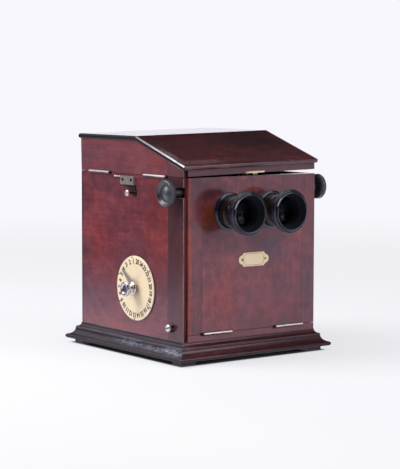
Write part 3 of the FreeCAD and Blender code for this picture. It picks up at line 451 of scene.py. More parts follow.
def dial_finish(name, colour, centre, radius, thickness):
    """Cream enamel, paler on its bevel, stained round the middle, and darkened on its side rim as
    painted shade.
    """
    finish = Finish(name, Coat_Weight=0.4, Coat_Roughness=0.15)
    x, out = finish.round_axis(centre)
    cloud = finish.noise(finish.place(), 70.0, 5.0, 0.6)
    speck = finish.noise(finish.place(), 900.0, 2.0, 0.6).ramp(0.62, 0.75)
    shade = finish.blend(cloud.ramp(0.40, 0.75) * 0.5, colour, scaled(colour, 0.72))
    shade = finish.blend(out.ramp(radius - 2.2 * MM, radius - 1.0 * MM) * 0.6, shade,
                         (0.88, 0.76, 0.64))
    # Painted shade: the side rim of the disc turns dark brown.
    side = (x + thickness - 0.6 * MM).ramp(0, 0.3 * MM) * out.ramp(radius - 1 * MM, radius)
    shade = finish.blend(side, shade, (0.10, 0.05, 0.03))
    grime = (1 - out.ramp(6 * MM, 15 * MM)) * 0.35 + speck * 0.25
    shade = finish.blend(grime, shade, (0.30, 0.20, 0.10))
    return finish.set(Base_Color=shade, Roughness=0.30 + cloud * 0.2)


def glass_finish(name, roughness, tint, smear=0.0, glint=(1, 1, 1)):
    """Clear or frosted glass. A dark glint keeps the reflections of deep-set glass faint."""
    finish = Finish(name, Transmission_Weight=1.0, IOR=1.5, Specular_Tint=glint)
    film = finish.noise(finish.place(), 120.0, 3.0, 0.6)
    return finish.set(Base_Color=finish.blend(film, tint, scaled(tint, 0.92)),
                      Roughness=roughness + film * smear)


# Shapes

def in_mm(outline):
    """An outline in metres, from one in millimetres."""
    return [(along * MM, radius * MM) for along, radius in outline]


def arc_corners(outline, radius, steps, closed):
    """The outline with its corners rounded."""
    longest_cut = 0.45
    count = len(outline)
    rounded = []
    for i, corner in enumerate(outline):
        here = Vector(corner)
        if not closed and i in (0, count - 1):
            rounded.append(here)
            continue
        before = Vector(outline[i - 1]) - here
        after = Vector(outline[(i + 1) % count]) - here
        cut = min(radius, before.length * longest_cut, after.length * longest_cut)
        if cut < TOUCHING:
            rounded.append(here)
            continue
        first = here + before.normalized() * cut
        last = here + after.normalized() * cut
        for step in range(steps + 1):
            t = step / steps
            rounded.append(first * (1 - t) ** 2 + here * (2 * t * (1 - t)) + last * t ** 2)
    return rounded


class Shape:
    """Faces gathered for one piece, with a map of its surface."""

    def __init__(self):
        self.mesh = bmesh.new()
        self.map = self.mesh.loops.layers.uv.new("UVMap")

    def turn(self, outline, origin, axis, side, steps, closed):
        """Turns an outline of (distance along the axis, radius) about the axis."""
        across = axis.cross(side)
        rows = []
        for along, radius in outline:
            centre = origin + axis * along
            if radius < TOUCHING:
                rows.append([self.mesh.verts.new(centre)] * steps)
                continue
            ring = []
            for step in range(steps):
                turn = 2 * math.pi * step / steps
                out = side * math.cos(turn) + across * math.sin(turn)
                ring.append(self.mesh.verts.new(centre + out * radius))
            rows.append(ring)
        lengths = [0.0]
        for a, b in zip(outline, outline[1:]):
            lengths.append(lengths[-1] + (Vector(b) - Vector(a)).length)
        pairs = list(zip(range(len(rows)), range(1, len(rows))))
        if closed:
            pairs.append((len(rows) - 1, 0))
        for a, b in pairs:
            for step in range(steps):
                following = (step + 1) % steps
                corners = [(rows[a][step], step, a), (rows[a][following], step + 1, a),
                           (rows[b][following], step + 1, b), (rows[b][step], step, b)]
                apart = []
                for corner in corners:
                    if all(corner[0] is not other[0] for other in apart):
                        apart.append(corner)
                if len(apart) < 3:
                    continue
                face = self.mesh.faces.new([corner[0] for corner in apart])
                for loop, (_, round_step, row) in zip(face.loops, apart):
                    loop[self.map].uv = (round_step / steps, lengths[row])

    def tube(self, path, radius, steps):
        """A round wire along straight runs."""
        rings = []
        for i, point in enumerate(path):
            before = path[max(i - 1, 0)]
            after = path[min(i + 1, len(path) - 1)]
            run = (after - before).normalized()
            side = run.orthogonal().normalized()
            across = run.cross(side)
            rings.append([self.mesh.verts.new(point + side * (radius * math.cos(a))
                                              + across * (radius * math.sin(a)))
                          for a in (2 * math.pi * k / steps for k in range(steps))])
        for a, b in zip(rings, rings[1:]):
            for k in range(steps):
                n = (k + 1) % steps
                self.mesh.faces.new([a[k], a[n], b[n], b[k]])
        self.mesh.faces.new(list(reversed(rings[0])))
        self.mesh.faces.new(rings[-1])

    def finished(self, name, finish):
        """The piece as an object, smooth but for its sharp edges."""
        bmesh.ops.recalc_face_normals(self.mesh, faces=self.mesh.faces)
        mesh = bpy.data.meshes.new(name)
        self.mesh.to_mesh(mesh)
        self.mesh.free()
        return shown(name, mesh, finish)


def shown(name, mesh, finish, sharp=32.0):
    """Links a mesh as a new piece with one finish, smooth but for its sharp edges."""
    mesh.materials.clear()
    mesh.materials.append(finish.material)
    mesh.shade_smooth()
    if sharp:
        mesh.set_sharp_from_angle(angle=math.radians(sharp))
    piece = bpy.data.objects.new(name, mesh)
    bpy.context.scene.collection.objects.link(piece)
    return piece


def turned(name, finish, outline, rounding, places, steps, arc_steps=4, closed=False):
    """A piece turned from an outline of (distance along the axis, radius) at each place.

    rounding is the radius of the outline's corners. A place is a point on the axis, the axis
    and a direction across it. steps go once round."""
    smooth = arc_corners(outline, rounding, arc_steps, closed)
    shape = Shape()
    for origin, axis, side in places:
        shape.turn(smooth, origin, axis, side, steps, closed)
    return shape.finished(name, finish)


def axis_point(node, x):
    """The point at x on the line along X through the middle of a node."""
    low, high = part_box(node)
    return Vector((x, (low.y + high.y) / 2, (low.z + high.z) / 2))


def partly(piece, finish, chosen):
    """Gives a second finish to the faces whose centre and normal pass a test."""
    piece.data.materials.append(finish.material)
    for face in piece.data.polygons:
        if chosen(face.center, face.normal):
            face.material_index = 1
    return piece


def inward_test(axes):
    """A test for faces that look toward the nearest of some axes along Y."""
    least_turn = 0.25

    def is_inward(centre, normal):
        axis = min(axes, key=lambda a: abs(a.x - centre.x))
        out = centre - axis
        return Vector((out.x, 0, out.z)).dot(normal) < -least_turn * math.hypot(out.x, out.z)

    return is_inward


def stands_for(piece, node):
    """The piece is shown in place of a node, and rides on its body."""
    bodies = frame["record"]["behaviour"]["bodies"]
    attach(piece, next(name for name, members in bodies.items() if node in members))
    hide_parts(node)
    return piece


def eased(node, finish, radius, crease=35.0, worn=None, inlay=None, chosen=None):
    """A copy of a node with its sharp edges rounded, shown in its place.

    worn is a second finish for the rounded edges; each one given here is a pale edge finish,
    partly wear and partly a painted highlight. inlay is a third one, for the faces for which
    chosen, a test of a face's centre and normal, is true. crease is the angle from which an edge
    that isn't rounded is sharp."""
    flat_degrees = 0.4
    rounded_degrees = 35.0
    shape = bmesh.new()
    shape.from_mesh(frame["nodes"][node].data)
    bmesh.ops.remove_doubles(shape, verts=shape.verts, dist=TOUCHING)
    bmesh.ops.dissolve_limit(shape, angle_limit=math.radians(flat_degrees), verts=shape.verts,
                             edges=shape.edges)
    rounded = []
    for edge in shape.edges:
        angle = math.degrees(edge.calc_face_angle(0))
        if angle > rounded_degrees:
            rounded.append(edge)
        else:
            edge.smooth = angle < crease
    if inlay:
        for face in shape.faces:
            if chosen(face.calc_center_median(), face.normal):
                face.material_index = 2
    bmesh.ops.bevel(shape, geom=rounded, offset=radius, segments=3, affect="EDGES",
                    profile=0.5, clamp_overlap=True, material=1 if worn else -1)
    for face in shape.faces:
        face.smooth = True
        if inlay and face.material_index == 1 and chosen(face.calc_center_median(), face.normal):
            face.material_index = 2
    mesh = bpy.data.meshes.new(node + "_eased")
    shape.to_mesh(mesh)
    shape.free()
    marks = [face.material_index for face in mesh.polygons]
    piece = shown(node + "_eased", mesh, finish, None)
    for extra in (worn, inlay):
        mesh.materials.append((extra or finish).material)
    mesh.polygons.foreach_set("material_index", marks)
    even = piece.modifiers.new("Even faces", "WEIGHTED_NORMAL")
    even.keep_sharp = True
    return stands_for(piece, node)


def kept(finish, *nodes):
    """Gives its finish to each node that is shown as it is."""
    for node in nodes:
        mesh = frame["nodes"][node].data
        mesh.materials.clear()
        mesh.materials.append(finish.material)


# Pieces that repeat, made with Geometry Nodes

class Builder(Nodes):
    """A Geometry Nodes tree, with named inputs for its sizes."""

    def __init__(self, name, **inputs):
        super().__init__(bpy.data.node_groups.new(name, "GeometryNodeTree"))
        sockets = self.tree.interface
        for label, kind in {"Geometry": "Geometry", **inputs, "Material": "Material"}.items():
            sockets.new_socket(label, in_out="INPUT", socket_type="NodeSocket" + kind)
        sockets.new_socket("Geometry", in_out="OUTPUT", socket_type="NodeSocketGeometry")
        self.given = self.node("NodeGroupInput")
        self.result = self.node("NodeGroupOutput").made

    def rotated(self, geometry, rotation):
        sockets = {"Geometry": geometry, "Rotation": rotation}
        return self.node("GeometryNodeTransform", None, sockets)[0]

    def copies(self, points, piece, **sockets):
        """A copy of the piece on each of the points."""
        return self.node("GeometryNodeInstanceOnPoints", None,
                         {"Points": points, "Instance": piece, **sockets})[0]

    def end(self, geometry):
        """Makes the copies real and gives them the material."""
        real = self.node("GeometryNodeRealizeInstances", None, {"Geometry": geometry})[0]
        coated = self.node("GeometryNodeSetMaterial", None,
                           {"Geometry": real, "Material": self.given["Material"]})[0]
        self.put(self.result.inputs[0], coated)
        return self


def grown(name, builder, points, finish, **values):
    """Runs a tree on a mesh of points and shows the result as a piece with a plain mesh."""
    start = bpy.data.meshes.new(name + "_points")
    start.from_pydata(points, [], [])
    source = bpy.data.objects.new(name + "_points", start)
    bpy.context.scene.collection.objects.link(source)
    modifier = source.modifiers.new("Build", "NODES")
    modifier.node_group = builder.tree
    values["Material"] = finish.material
    for item in builder.tree.interface.items_tree:
        if item.in_out == "INPUT" and item.name in values:
            modifier[item.identifier] = values[item.name]
    bpy.context.view_layer.update()
    evaluated = source.evaluated_get(bpy.context.evaluated_depsgraph_get())
    mesh = bpy.data.meshes.new_from_object(evaluated)
    mesh.name = name
    bpy.data.objects.remove(source)
    return shown(name, mesh, finish)


def nail_builder():
    """A domed head on each point, facing along -X or -Y as the turn says."""
    builder = Builder("Nail heads", Radius="Float", Height="Float", Turn="Rotation")
    given = builder.given
    ball = builder.node("GeometryNodeMeshUVSphere", None,
                        {"Segments": 20, "Rings": 10, "Radius": 1.0})[0]
    size = builder.node("ShaderNodeCombineXYZ", None,
                        {0: given["Radius"], 1: given["Radius"], 2: given["Height"]})[0]
    return builder.end(builder.copies(given["Geometry"], ball, Rotation=given["Turn"], Scale=size))


def milled_builder():
    """Ridges round the rim of a knob whose axis is X."""
    builder = Builder("Milled edge", Radius="Float", Ridges="Int", Width="Float", Depth="Float")
    given = builder.given
    along_x = (0, QUARTER_TURN, 0)
    ring = builder.node("GeometryNodeMeshCircle", None,
                        {"Vertices": given["Ridges"], "Radius": given["Radius"]})[0]
    ridge = builder.node("GeometryNodeMeshCylinder", None,
                         {"Vertices": 6, "Radius": given["Depth"], "Depth": given["Width"]})[0]
    rim = builder.copies(builder.rotated(ring, along_x), builder.rotated(ridge, along_x))
    return builder.end(builder.copies(given["Geometry"], rim))


def thread_builder():
    """A fine screw thread along -Y from each point."""
    builder = Builder("Tube thread", Radius="Float", Pitch="Float", Turns="Float", Length="Float")
    given = builder.given
    crest_share = 0.22
    spiral = builder.node("GeometryNodeCurveSpiral", None,
                          {"Resolution": 48, "Rotations": given["Turns"],
                           "Start Radius": given["Radius"], "End Radius": given["Radius"],
                           "Height": given["Length"]})[0]
    wire = builder.node("GeometryNodeCurvePrimitiveCircle", None,
                        {"Resolution": 6, "Radius": given["Pitch"] * crest_share})[0]
    ridge = builder.node("GeometryNodeCurveToMesh", None,
                         {"Curve": builder.rotated(spiral, (QUARTER_TURN, 0, 0)),
                          "Profile Curve": wire, "Fill Caps": True})[0]
    return builder.end(builder.copies(given["Geometry"], ridge))


# Operators

def groove_test():
    """A test for faces in the lid's joint and beside the door, whose darker, barely varnished
    finish is painted shade.
    """
    low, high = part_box("side_stiles")
    door_low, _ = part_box("door_stiles")
    lid_joint = 3.0 * MM
    first_x = low.x + 1.0 * MM
    last_x = door_low.x + 6.0 * MM
    last_y = low.y + 8.0 * MM

    def in_groove(centre, normal):
        if abs(centre.z - high.z) < lid_joint and abs(normal.z) > 0.2:
            return True
        beside_door = first_x < centre.x < last_x and centre.y < last_y
        return beside_door and (normal.x > 0.5 or normal.y < -0.5)

    return in_groove


class VIEWER_OT_case(bpy.types.Operator):
    """Make the wooden case, its stiles, the bottom rail, the back and its beads"""
    bl_idname = "viewer.case"
    bl_label = "Case"

    def execute(self, context):
        edge = context.scene.viewer_wood.edge
        warm = (1.16, 0.84, 0.66)
        purple = (0.90, 1.12, 1.28)
        dull = (0.7, 0.65, 0.7)
        dark = (0.55, 0.50, 0.55)
        shadow = (0.25, 0.25, 0.30)
        blue = (0.95, 0.9, 1.6)
        side = wood_finish("side_mahogany", 1, depth=0.85, seed=0.3, mottle=0.9)
        # The last patch paints a dark reflection along the back edge of the side.
        stained(side, (((-100, 78, 133), (60, 26, 30), warm, 0.9),
                       ((-100, 98, 62), (60, 48, 44), purple, 0.9),
                       ((-100, -46, 165), (60, 34, 62), warm, 0.9),
                       ((-100, 60, 205), (60, 55, 16), purple, 0.6),
                       ((-100, 20, 100), (60, 25, 30), purple, 0.5),
                       ((-100, -20, 70), (60, 30, 22), purple, 0.6),
                       ((-100, -44, 190), (60, 22, 12), dull, 0.6),
                       ((-100, 122, 120), (60, 5, 400), shadow, 1.0)))
        stile = wood_finish("stile_mahogany", 2, tone=0.20, depth=0.42, coat=0.85, seed=0.9)
        # Painted light on the stile: the dark patch round the focusing knob is its shadow, the
        # blue patch low down a bluish sheen.
        stained(stile, (((-100, -80, 195), (9, 20, 30), dark, 0.6),
                        ((-100, -70, 90), (9, 12, 60), blue, 0.9)))
        # The stiles' pale rounded edge is partly wear, partly a painted highlight.
        worn_and_highlit = rubbed_finish("rubbed_arris", 2, (0.27, 0.17, 0.19), 0.4)
        # Painted shade: faces in the groove beside the door get this darker, barely varnished
        # wood.
        groove = wood_finish("groove_mahogany", 2, depth=0.35, coat=0.1, seed=1.3)
        rail = wood_finish("rail_mahogany", 0, tone=0.1, depth=0.85, seed=1.7)
        back = wood_finish("back_mahogany", 0, depth=0.8, seed=2.6)
        for node in ("left_side_panel", "right_side_panel"):
            eased(node, side, edge * 0.3, inlay=groove, chosen=groove_test())
        eased("side_stiles", stile, edge * 2.0, worn=worn_and_highlit, inlay=groove, chosen=groove_test())
        eased("bottom_rail", rail, edge)
        eased("back_panel", back, edge)
        eased("glass_beads", stile, edge * 0.6)
        return {"FINISHED"}


class VIEWER_OT_base(bpy.types.Operator):
    """Make the base board, the moulding round it and the feet"""
    bl_idname = "viewer.base"
    bl_label = "Base"

    def execute(self, context):
        edge = context.scene.viewer_wood.edge
        blue = (0.70, 1.05, 1.60)
        pale = (0.25, 0.28, 0.38)
        bright_glint = (0.36, 0.40, 0.52)
        dull = (0.012, 0.008, 0.010)
        grey_glint = (0.16, 0.12, 0.15)
        red_fleck = (0.14, 0.06, 0.07)
        across = wood_finish("moulding_mahogany_x", 0, depth=0.30, coat=0.65, seed=3.1, mottle=1.2)
        along = wood_finish("moulding_mahogany_y", 1, tone=0.5, depth=0.24, coat=0.85, seed=3.9,
                            mottle=1.4)
        # Painted sheen and highlights: a bluish cast over the side moulding and pale streaks along
        # its profile stand for the light it reflects.
        stained(along, (((-110, 0, 15), (40, 900, 90), blue, 1.0),))
        scuffed(along, (((-115, 2, 16), (20, 50, 5), pale, 0.6),
                        ((-115, -50, 14.5), (20, 60, 3.4), pale, 0.75),
                        ((-115, -92, 15.5), (20, 36, 5), bright_glint, 0.7),
                        ((-115, 40, 27), (20, 90, 2.5), pale, 0.6)), (1, 0.2, 1), 700.0)
        # The grey patch near the front moulding's left corner is a painted glint.
        scuffed(across, (((-98, -114, 21), (12, 20, 8), grey_glint, 0.6),
                         ((-40, -114, 12), (70, 20, 4), red_fleck, 0.5)), (0.25, 1, 1))
        # The mouldings' pale rounded edges are partly wear, partly painted highlights.
        worn_and_highlit = rubbed_finish("rubbed_moulding", 1, (0.22, 0.19, 0.25), 3.3)
        worn_and_highlit_red = rubbed_finish("rubbed_moulding_front", 0, (0.16, 0.07, 0.08), 3.7)
        foot = wood_finish("foot_wood", 1, tone=0.6, depth=0.22, coat=0.3, seed=4.4)
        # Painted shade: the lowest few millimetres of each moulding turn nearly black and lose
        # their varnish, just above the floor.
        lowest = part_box("base_moulding_sides")[0].z
        for finish, coat in ((worn_and_highlit, 0.7), (worn_and_highlit_red, 0.7), (along, 0.85), (across, 0.65)):
            height = finish.height().ramp(lowest + 1 * MM, lowest + 4 * MM)
            finish.set(Base_Color=finish.blend(height, dull, finish.so_far()),
                       Coat_Weight=height * coat)
        inside = plain_wood_finish("base_board_wood", (0.16, 0.075, 0.04), 0)
        eased("base_moulding_front", across, edge * 0.8, worn=worn_and_highlit_red)
        eased("base_moulding_back", across, edge * 0.8, worn=worn_and_highlit_red)
        eased("base_moulding_sides", along, edge * 0.8, worn=worn_and_highlit)
        eased("corner_feet", foot, edge * 1.6)
        kept(inside, "base_board")
        return {"FINISHED"}


def on_slope_arris(centre, normal):
    """True for the rounded left edge of the lid's sloping board, where a white highlight is
    painted.
    """
    return -0.96 < normal.x < -0.30 and normal.z > 0.2 and normal.y < -0.05


class VIEWER_OT_lid(bpy.types.Operator):
    """Make the lid: its walls, stiles, rails and boards"""
    bl_idname = "viewer.lid"
    bl_label = "Lid"

    def execute(self, context):
        edge = context.scene.viewer_wood.edge
        warm = (1.15, 0.85, 0.75)
        purple = (0.9, 1.1, 1.15)
        wall = wood_finish("lid_side_mahogany", 1, tone=0.40, depth=1.22, seed=5.2)
        stained(wall, (((-100, -40, 238), (60, 30, 12), warm, 0.7),
                       ((-100, 90, 240), (60, 25, 16), purple, 0.7)))
        stile = wood_finish("lid_stile_mahogany", 2, tone=0.65, depth=1.05, seed=5.9)
        # Painted shade: faces in the lid's joint and in the groove beside the door get this
        # darker, barely varnished wood.
        groove = wood_finish("lid_groove_mahogany", 2, depth=0.3, coat=0.1, seed=5.5)
        # The lid stiles' pale rounded edge is partly wear, partly a painted highlight.
        worn_and_highlit = rubbed_finish("lid_rubbed_arris", 2, (0.20, 0.12, 0.13), 1.4)
        rail = wood_finish("lid_rail_mahogany", 0, tone=0.05, depth=0.45, seed=6.1)
        board = self.board_finish()
        # Painted highlight: the slope's rounded left edge gets a near-white finish, fading towards
        # the top of the slope.
        glare = rubbed_finish("slope_arris", 1, (0.80, 0.76, 0.80), 2.2)
        bright_below = 0.232
        dull_above = 0.266
        fade = glare.height().ramp(bright_below, dull_above)
        glare.set(Base_Color=glare.blend(fade * 0.75, glare.so_far(), (0.10, 0.08, 0.09)))
        eased("lid_side_walls", wall, edge * 0.3, inlay=groove, chosen=groove_test())
        eased("lid_side_stiles", stile, edge * 1.6, worn=worn_and_highlit, inlay=groove,
              chosen=groove_test())
        eased("lid_rails", rail, edge)
        eased("lid_boards", board, edge * 0.5, crease=15, inlay=glare, chosen=on_slope_arris)
        return {"FINISHED"}

    def board_finish(self):
        """The varnish of the two boards on top, with its stains, scuffs and dark ends."""
        warm = (1.20, 0.92, 0.86)
        dark = (0.55, 0.55, 0.65)
        red = (1.6, 1.0, 1.0)
        pale = (0.50, 0.42, 0.42)
        rosy = (0.40, 0.28, 0.28)
        dark_end = (0.010, 0.007, 0.011)
        board = wood_finish("lid_board_mahogany", 0, tone=0.05, depth=0.33, seed=6.8, gloss=0.16,
                            dust=0.5, mottle=1.3, streaks=1.6)
        stained(board, (((-40, -60, 250), (70, 30, 60), warm, 0.8),
                        ((60, -30, 250), (50, 40, 60), dark, 0.8),
                        ((0, 10, 266), (400, 60, 12), red, 0.9)))
        scuffed(board, (((-97, -68, 250), (8, 34, 60), pale, 0.45),
                        ((-70, -90, 236), (40, 8, 30), rosy, 0.3)), (0.5, 1, 1), 1300.0)
        half_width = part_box("right_side_panel")[1].x
        return edge_darkened(board, half_width, dark_end)


class VIEWER_OT_door(bpy.types.Operator):
    """Make the door's panel and stiles, and the bare plate with its nails"""
    bl_idname = "viewer.door"
    bl_label = "Door"

    def execute(self, context):
        edge = context.scene.viewer_wood.edge
        warm = (1.20, 0.88, 0.74)
        dark = (0.46, 0.36, 0.42)
        blue = (0.80, 1.05, 1.35)
        grey = (0.64, 0.64, 0.76)
        mirrored_eyepiece_tint = (1.30, 1.45, 0.30)
        lit_edge_ochre = (2.2, 1.6, 0.6)
        joint = (0.45, 0.38, 0.42)
        panel = wood_finish("door_mahogany", 2, tone=0.10, depth=0.92, seed=7.3, gloss=0.14,
                            mottle=1.5, streaks=0.7)
        # Painted reflection: the first two patches darken and redden the door left of the left
        # eyepiece, where the varnish mirrors that black eyepiece.
        stained(panel, (((-58, -100, 173), (36, 60, 38), dark, 0.75),
                        ((-62, -100, 173), (16, 60, 23), mirrored_eyepiece_tint, 0.95),
                        ((5, -100, 193), (26, 60, 11), dark, 0.9),
                        ((36, -100, 126), (38, 60, 12), blue, 0.9),
                        ((8, -100, 138), (60, 60, 12), grey, 0.85),
                        ((-62, -100, 206), (40, 60, 18), dark, 0.7),
                        ((-42, -100, 75), (30, 60, 38), warm, 0.9),
                        ((30, -100, 60), (45, 60, 22), warm, 0.4)))
        # Less varnish over the painted reflection, so that it is not washed out.
        mirrored_eyepiece_mask = patch_mask(panel, (-62, -100, 173), (20, 60, 25), 0.5)
        panel.set(Coat_Weight=panel.so_far("Coat Weight") * (1 - mirrored_eyepiece_mask * 0.8))
        stile = wood_finish("door_stile_mahogany", 2, tone=0.14, depth=0.76, seed=7.9, mottle=1.2)
        # Painted light: the ochre strip down the left edge of the door's stiles stands for the
        # light and reflection on that edge.
        stained(stile, (((-93.5, -97, 110), (5.0, 60, 400), lit_edge_ochre, 0.9),
                        ((-84, -100, 212), (12, 60, 30), dark, 0.5),
                        ((90, -100, 80), (14, 60, 60), blue, 0.9)))
        joints = [((corner.x / MM, -100, 72), (1.3, 60, 85), joint, 0.8)
                  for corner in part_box("door_panel")]
        stained(panel, joints)
        stained(stile, joints)
        eased("door_panel", panel, edge * 0.4)
        eased("door_stiles", stile, edge * 0.4)
        self.plate()
        return {"FINISHED"}

    def plate(self):
        low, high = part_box("nameplate")
        centre = (low + high) / 2
        brass = metal_finish("plate_brass", (0.82, 0.67, 0.44), 0.42, age=0.1, metallic=0.55)
        kept(brass, "nameplate")
        end_margin = 7.4 * MM
        edge_margin = 1.5 * MM
        corner = 3.0 * MM
        half_width = (high.x - low.x) / 2 - end_margin
        half_height = (high.z - low.z) / 2 - edge_margin
        rim = []
        for x_side, z_side in ((-1, -1), (1, -1), (1, 1), (-1, 1)):
            tip = Vector((centre.x + x_side * half_width, low.y, centre.z + z_side * half_height))
            sideways = tip - X * x_side * corner
            upward = tip - Z * z_side * corner
            rim.extend([upward, sideways] if x_side * z_side > 0 else [sideways, upward])
        border = Shape()
        border.tube([*rim, rim[0]], 0.22 * MM, 8)
        dark_brass = metal_finish("dark_brass_line", (0.20, 0.12, 0.05), 0.5)
        line = border.finished("nameplate_border", dark_brass)
        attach(line, "door")
        self.nails(centre.z)

    def nails(self, middle):
        low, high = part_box("nameplate_nails")
        radius = 1.3 * MM
        sunk = 0.35 * MM
        places = [Vector((x, low.y + sunk, middle)) for x in (low.x + radius, high.x - radius)]
        steel = metal_finish("nail_steel", (0.10, 0.085, 0.07), 0.45, age=0.7)
        heads = grown("nameplate_nail_heads", nail_builder(), places, steel, Radius=radius,
                      Height=0.5 * MM, Turn=Euler((QUARTER_TURN, 0, 0)))
        stands_for(heads, "nameplate_nails")


class VIEWER_OT_eyepieces(bpy.types.Operator):
    """Make the eyecups, their threaded tubes, the flanges and the lenses"""
    bl_idname = "viewer.eyepieces"
    bl_label = "Eyepieces"

    tube_wall = 1.6 * MM

    def execute(self, context):
        low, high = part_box("eyecups")
        tube_low, tube_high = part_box("eyepiece_tubes")
        flange_low, flange_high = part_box("eyepiece_flanges")
        door_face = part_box("door_panel")[0].y
        radius = (high.z - low.z) / 2
        tube = (tube_high.z - tube_low.z) / 2
        origins = [Vector((x, door_face, (low.z + high.z) / 2))
                   for x in (low.x + radius, high.x - radius)]
        places = [(origin, -Y, X) for origin in origins]
        black = black_lacquer_finish("eyecup_black", colour=(0.007, 0.010, 0.022),
                                     roughness=0.10, rings=0.15, coat=0.55, shine=0.45)
        tube_black = black_lacquer_finish("tube_black", colour=(0.010, 0.007, 0.008),
                                          roughness=0.2, rings=0.8)
        worn = black_lacquer_finish("thread_black", (0.24, 0.15, 0.09), 0.14,
                                    (0.012, 0.008, 0.008), 0.2)
        lining = matt_black_finish("eyepiece_lining")
        inward = inward_test(origins)
        cup = self.cup_outline(door_face - low.y, radius, tube)
        bells = turned("eyecup_bells", black, cup, 0.45 * MM, places, 128, closed=True)
        stands_for(partly(bells, lining, inward), "eyecups")
        wall = self.tube_outline(door_face - tube_low.y, door_face - tube_high.y, tube)
        tubes = turned("eyepiece_tube_walls", tube_black, wall, 0.3 * MM, places, 96, 3, True)
        stands_for(partly(tubes, lining, inward), "eyepiece_tubes")
        ring = self.flange_outline(door_face - flange_low.y, (flange_high.z - flange_low.z) / 2,
                                   tube)
        rings = turned("eyepiece_flange_rings", black, ring, 0.35 * MM, places, 112, closed=True)
        stands_for(rings, "eyepiece_flanges")
        self.threads(context.scene.viewer_eyepieces.thread_pitch, origins, tube, worn)
        lens = glass_finish("lens_glass", 0.0, (0.80, 0.86, 0.90), glint=(0.05, 0.05, 0.07))
        kept(lens, "eyepiece_lenses")
        return {"FINISHED"}

    def cup_outline(self, reach, radius, tube):
        """From the collar on the tube over the bell's beads and rim into its mouth."""
        mouth = radius - 4.8 * MM
        bore = tube - self.tube_wall
        back = reach - 14.3 * MM
        return [(back, tube), (back, tube + 1.2 * MM), (back + 3.0 * MM, tube + 1.5 * MM),
                (back + 4.2 * MM, tube + 3.2 * MM), (back + 4.8 * MM, tube + 5.6 * MM),
                (back + 5.6 * MM, radius - 0.8 * MM), (back + 8.6 * MM, radius - 0.3 * MM),
                (back + 9.0 * MM, radius - 1.4 * MM), (back + 9.8 * MM, radius - 1.4 * MM),
                (back + 10.2 * MM, radius - 0.1 * MM), (back + 11.4 * MM, radius),
                (back + 11.8 * MM, radius - 0.8 * MM), (back + 11.1 * MM, radius - 1.4 * MM),
                (back + 11.3 * MM, radius - 2.7 * MM), (reach - 1.3 * MM, radius - 3.2 * MM),
                (reach - 0.2 * MM, radius - 3.5 * MM), (reach, mouth + 0.6 * MM),
                (reach - 0.2 * MM, mouth), (reach - 1.0 * MM, mouth - 0.2 * MM),
                (reach - 5.0 * MM, mouth - 1.8 * MM), (back + 5.5 * MM, bore),
                (back + 5.5 * MM, tube)]

    def tube_outline(self, front, back, tube):
        bore = tube - self.tube_wall
        return [(back, bore), (back, tube), (front, tube), (front, bore)]

    def flange_outline(self, proud, radius, tube):
        """A ring on the door's face, with a sleeve in the door's hole."""
        bore = tube + 0.06 * MM
        sleeve = 20.3 * MM
        return [(-8 * MM, bore), (-8 * MM, sleeve), (0, sleeve), (0, radius),
                (proud - 1.6 * MM, radius), (proud - 0.9 * MM, radius - 0.7 * MM),
                (proud - 0.8 * MM, radius - 1.6 * MM), (proud, radius - 1.9 * MM),
                (proud, bore + 0.6 * MM), (proud - 0.6 * MM, bore)]

    def threads(self, pitch, origins, tube, finish):
        turns = 6.0
        start = 10.6 * MM
        points = [origin - Y * start for origin in origins]
        threads = grown("tube_threads", thread_builder(), points, finish, Radius=tube, Pitch=pitch,
                        Turns=turns, Length=pitch * turns)
        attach(threads, "lens_slide")


class VIEWER_OT_focus_knobs(bpy.types.Operator):
    """Make the two focusing knobs with their necks and milled edges"""
    bl_idname = "viewer.focus_knobs"
    bl_label = "Focusing knobs"

    def execute(self, context):
        low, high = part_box("focus_knobs")
        radius = (high.z - low.z) / 2
        centre = (low + high) / 2
        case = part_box("right_side_panel")[1].x
        reach = high.x - case
        head = reach - 9.0 * MM
        neck = 5.25 * MM
        shaft = 2.5 * MM
        profile = [(-16 * MM, shaft), (-16 * MM, neck), (head - 1.2 * MM, neck),
                   (head, 7.5 * MM), (head + 0.8 * MM, radius - 2.4 * MM),
                   (head + 2.0 * MM, radius - 0.8 * MM), (head + 2.8 * MM, radius - 0.7 * MM),
                   (reach - 1.9 * MM, radius - 0.7 * MM), (reach - 1.4 * MM, radius),
                   (reach - 0.5 * MM, radius - 0.2 * MM), (reach, radius - 1.2 * MM),
                   (reach - 0.2 * MM, radius - 2.2 * MM), (reach - 1.8 * MM, radius - 3.4 * MM),
                   (reach - 3.4 * MM, radius - 4.8 * MM), (reach - 3.0 * MM, 8.4 * MM),
                   (reach - 1.9 * MM, 5.6 * MM), (reach - 1.0 * MM, 3.0 * MM),
                   (reach - 0.7 * MM, 0)]
        end_face = high.x - 4.5 * MM
        black = ebonite_finish("knob_ebonite", centre, end_face, radius)
        places = [(axis_point("focus_knobs", side * case), X * side, Y) for side in (-1, 1)]
        heads = turned("focus_knob_heads", black, profile, 1.0 * MM, places, 128, 5)
        stands_for(heads, "focus_knobs")
        width = 4.0 * MM
        milled_from = head + 2.6 * MM
        middle = case + milled_from + width / 2
        middles = [axis_point("focus_knobs", side * middle) for side in (-1, 1)]
        milling = grown("focus_knob_milling", milled_builder(), middles, black, Width=width,
                        Radius=radius - 0.75 * MM, Depth=0.42 * MM,
                        Ridges=context.scene.viewer_eyepieces.ridges)
        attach(milling, "focus_control")
        return {"FINISHED"}


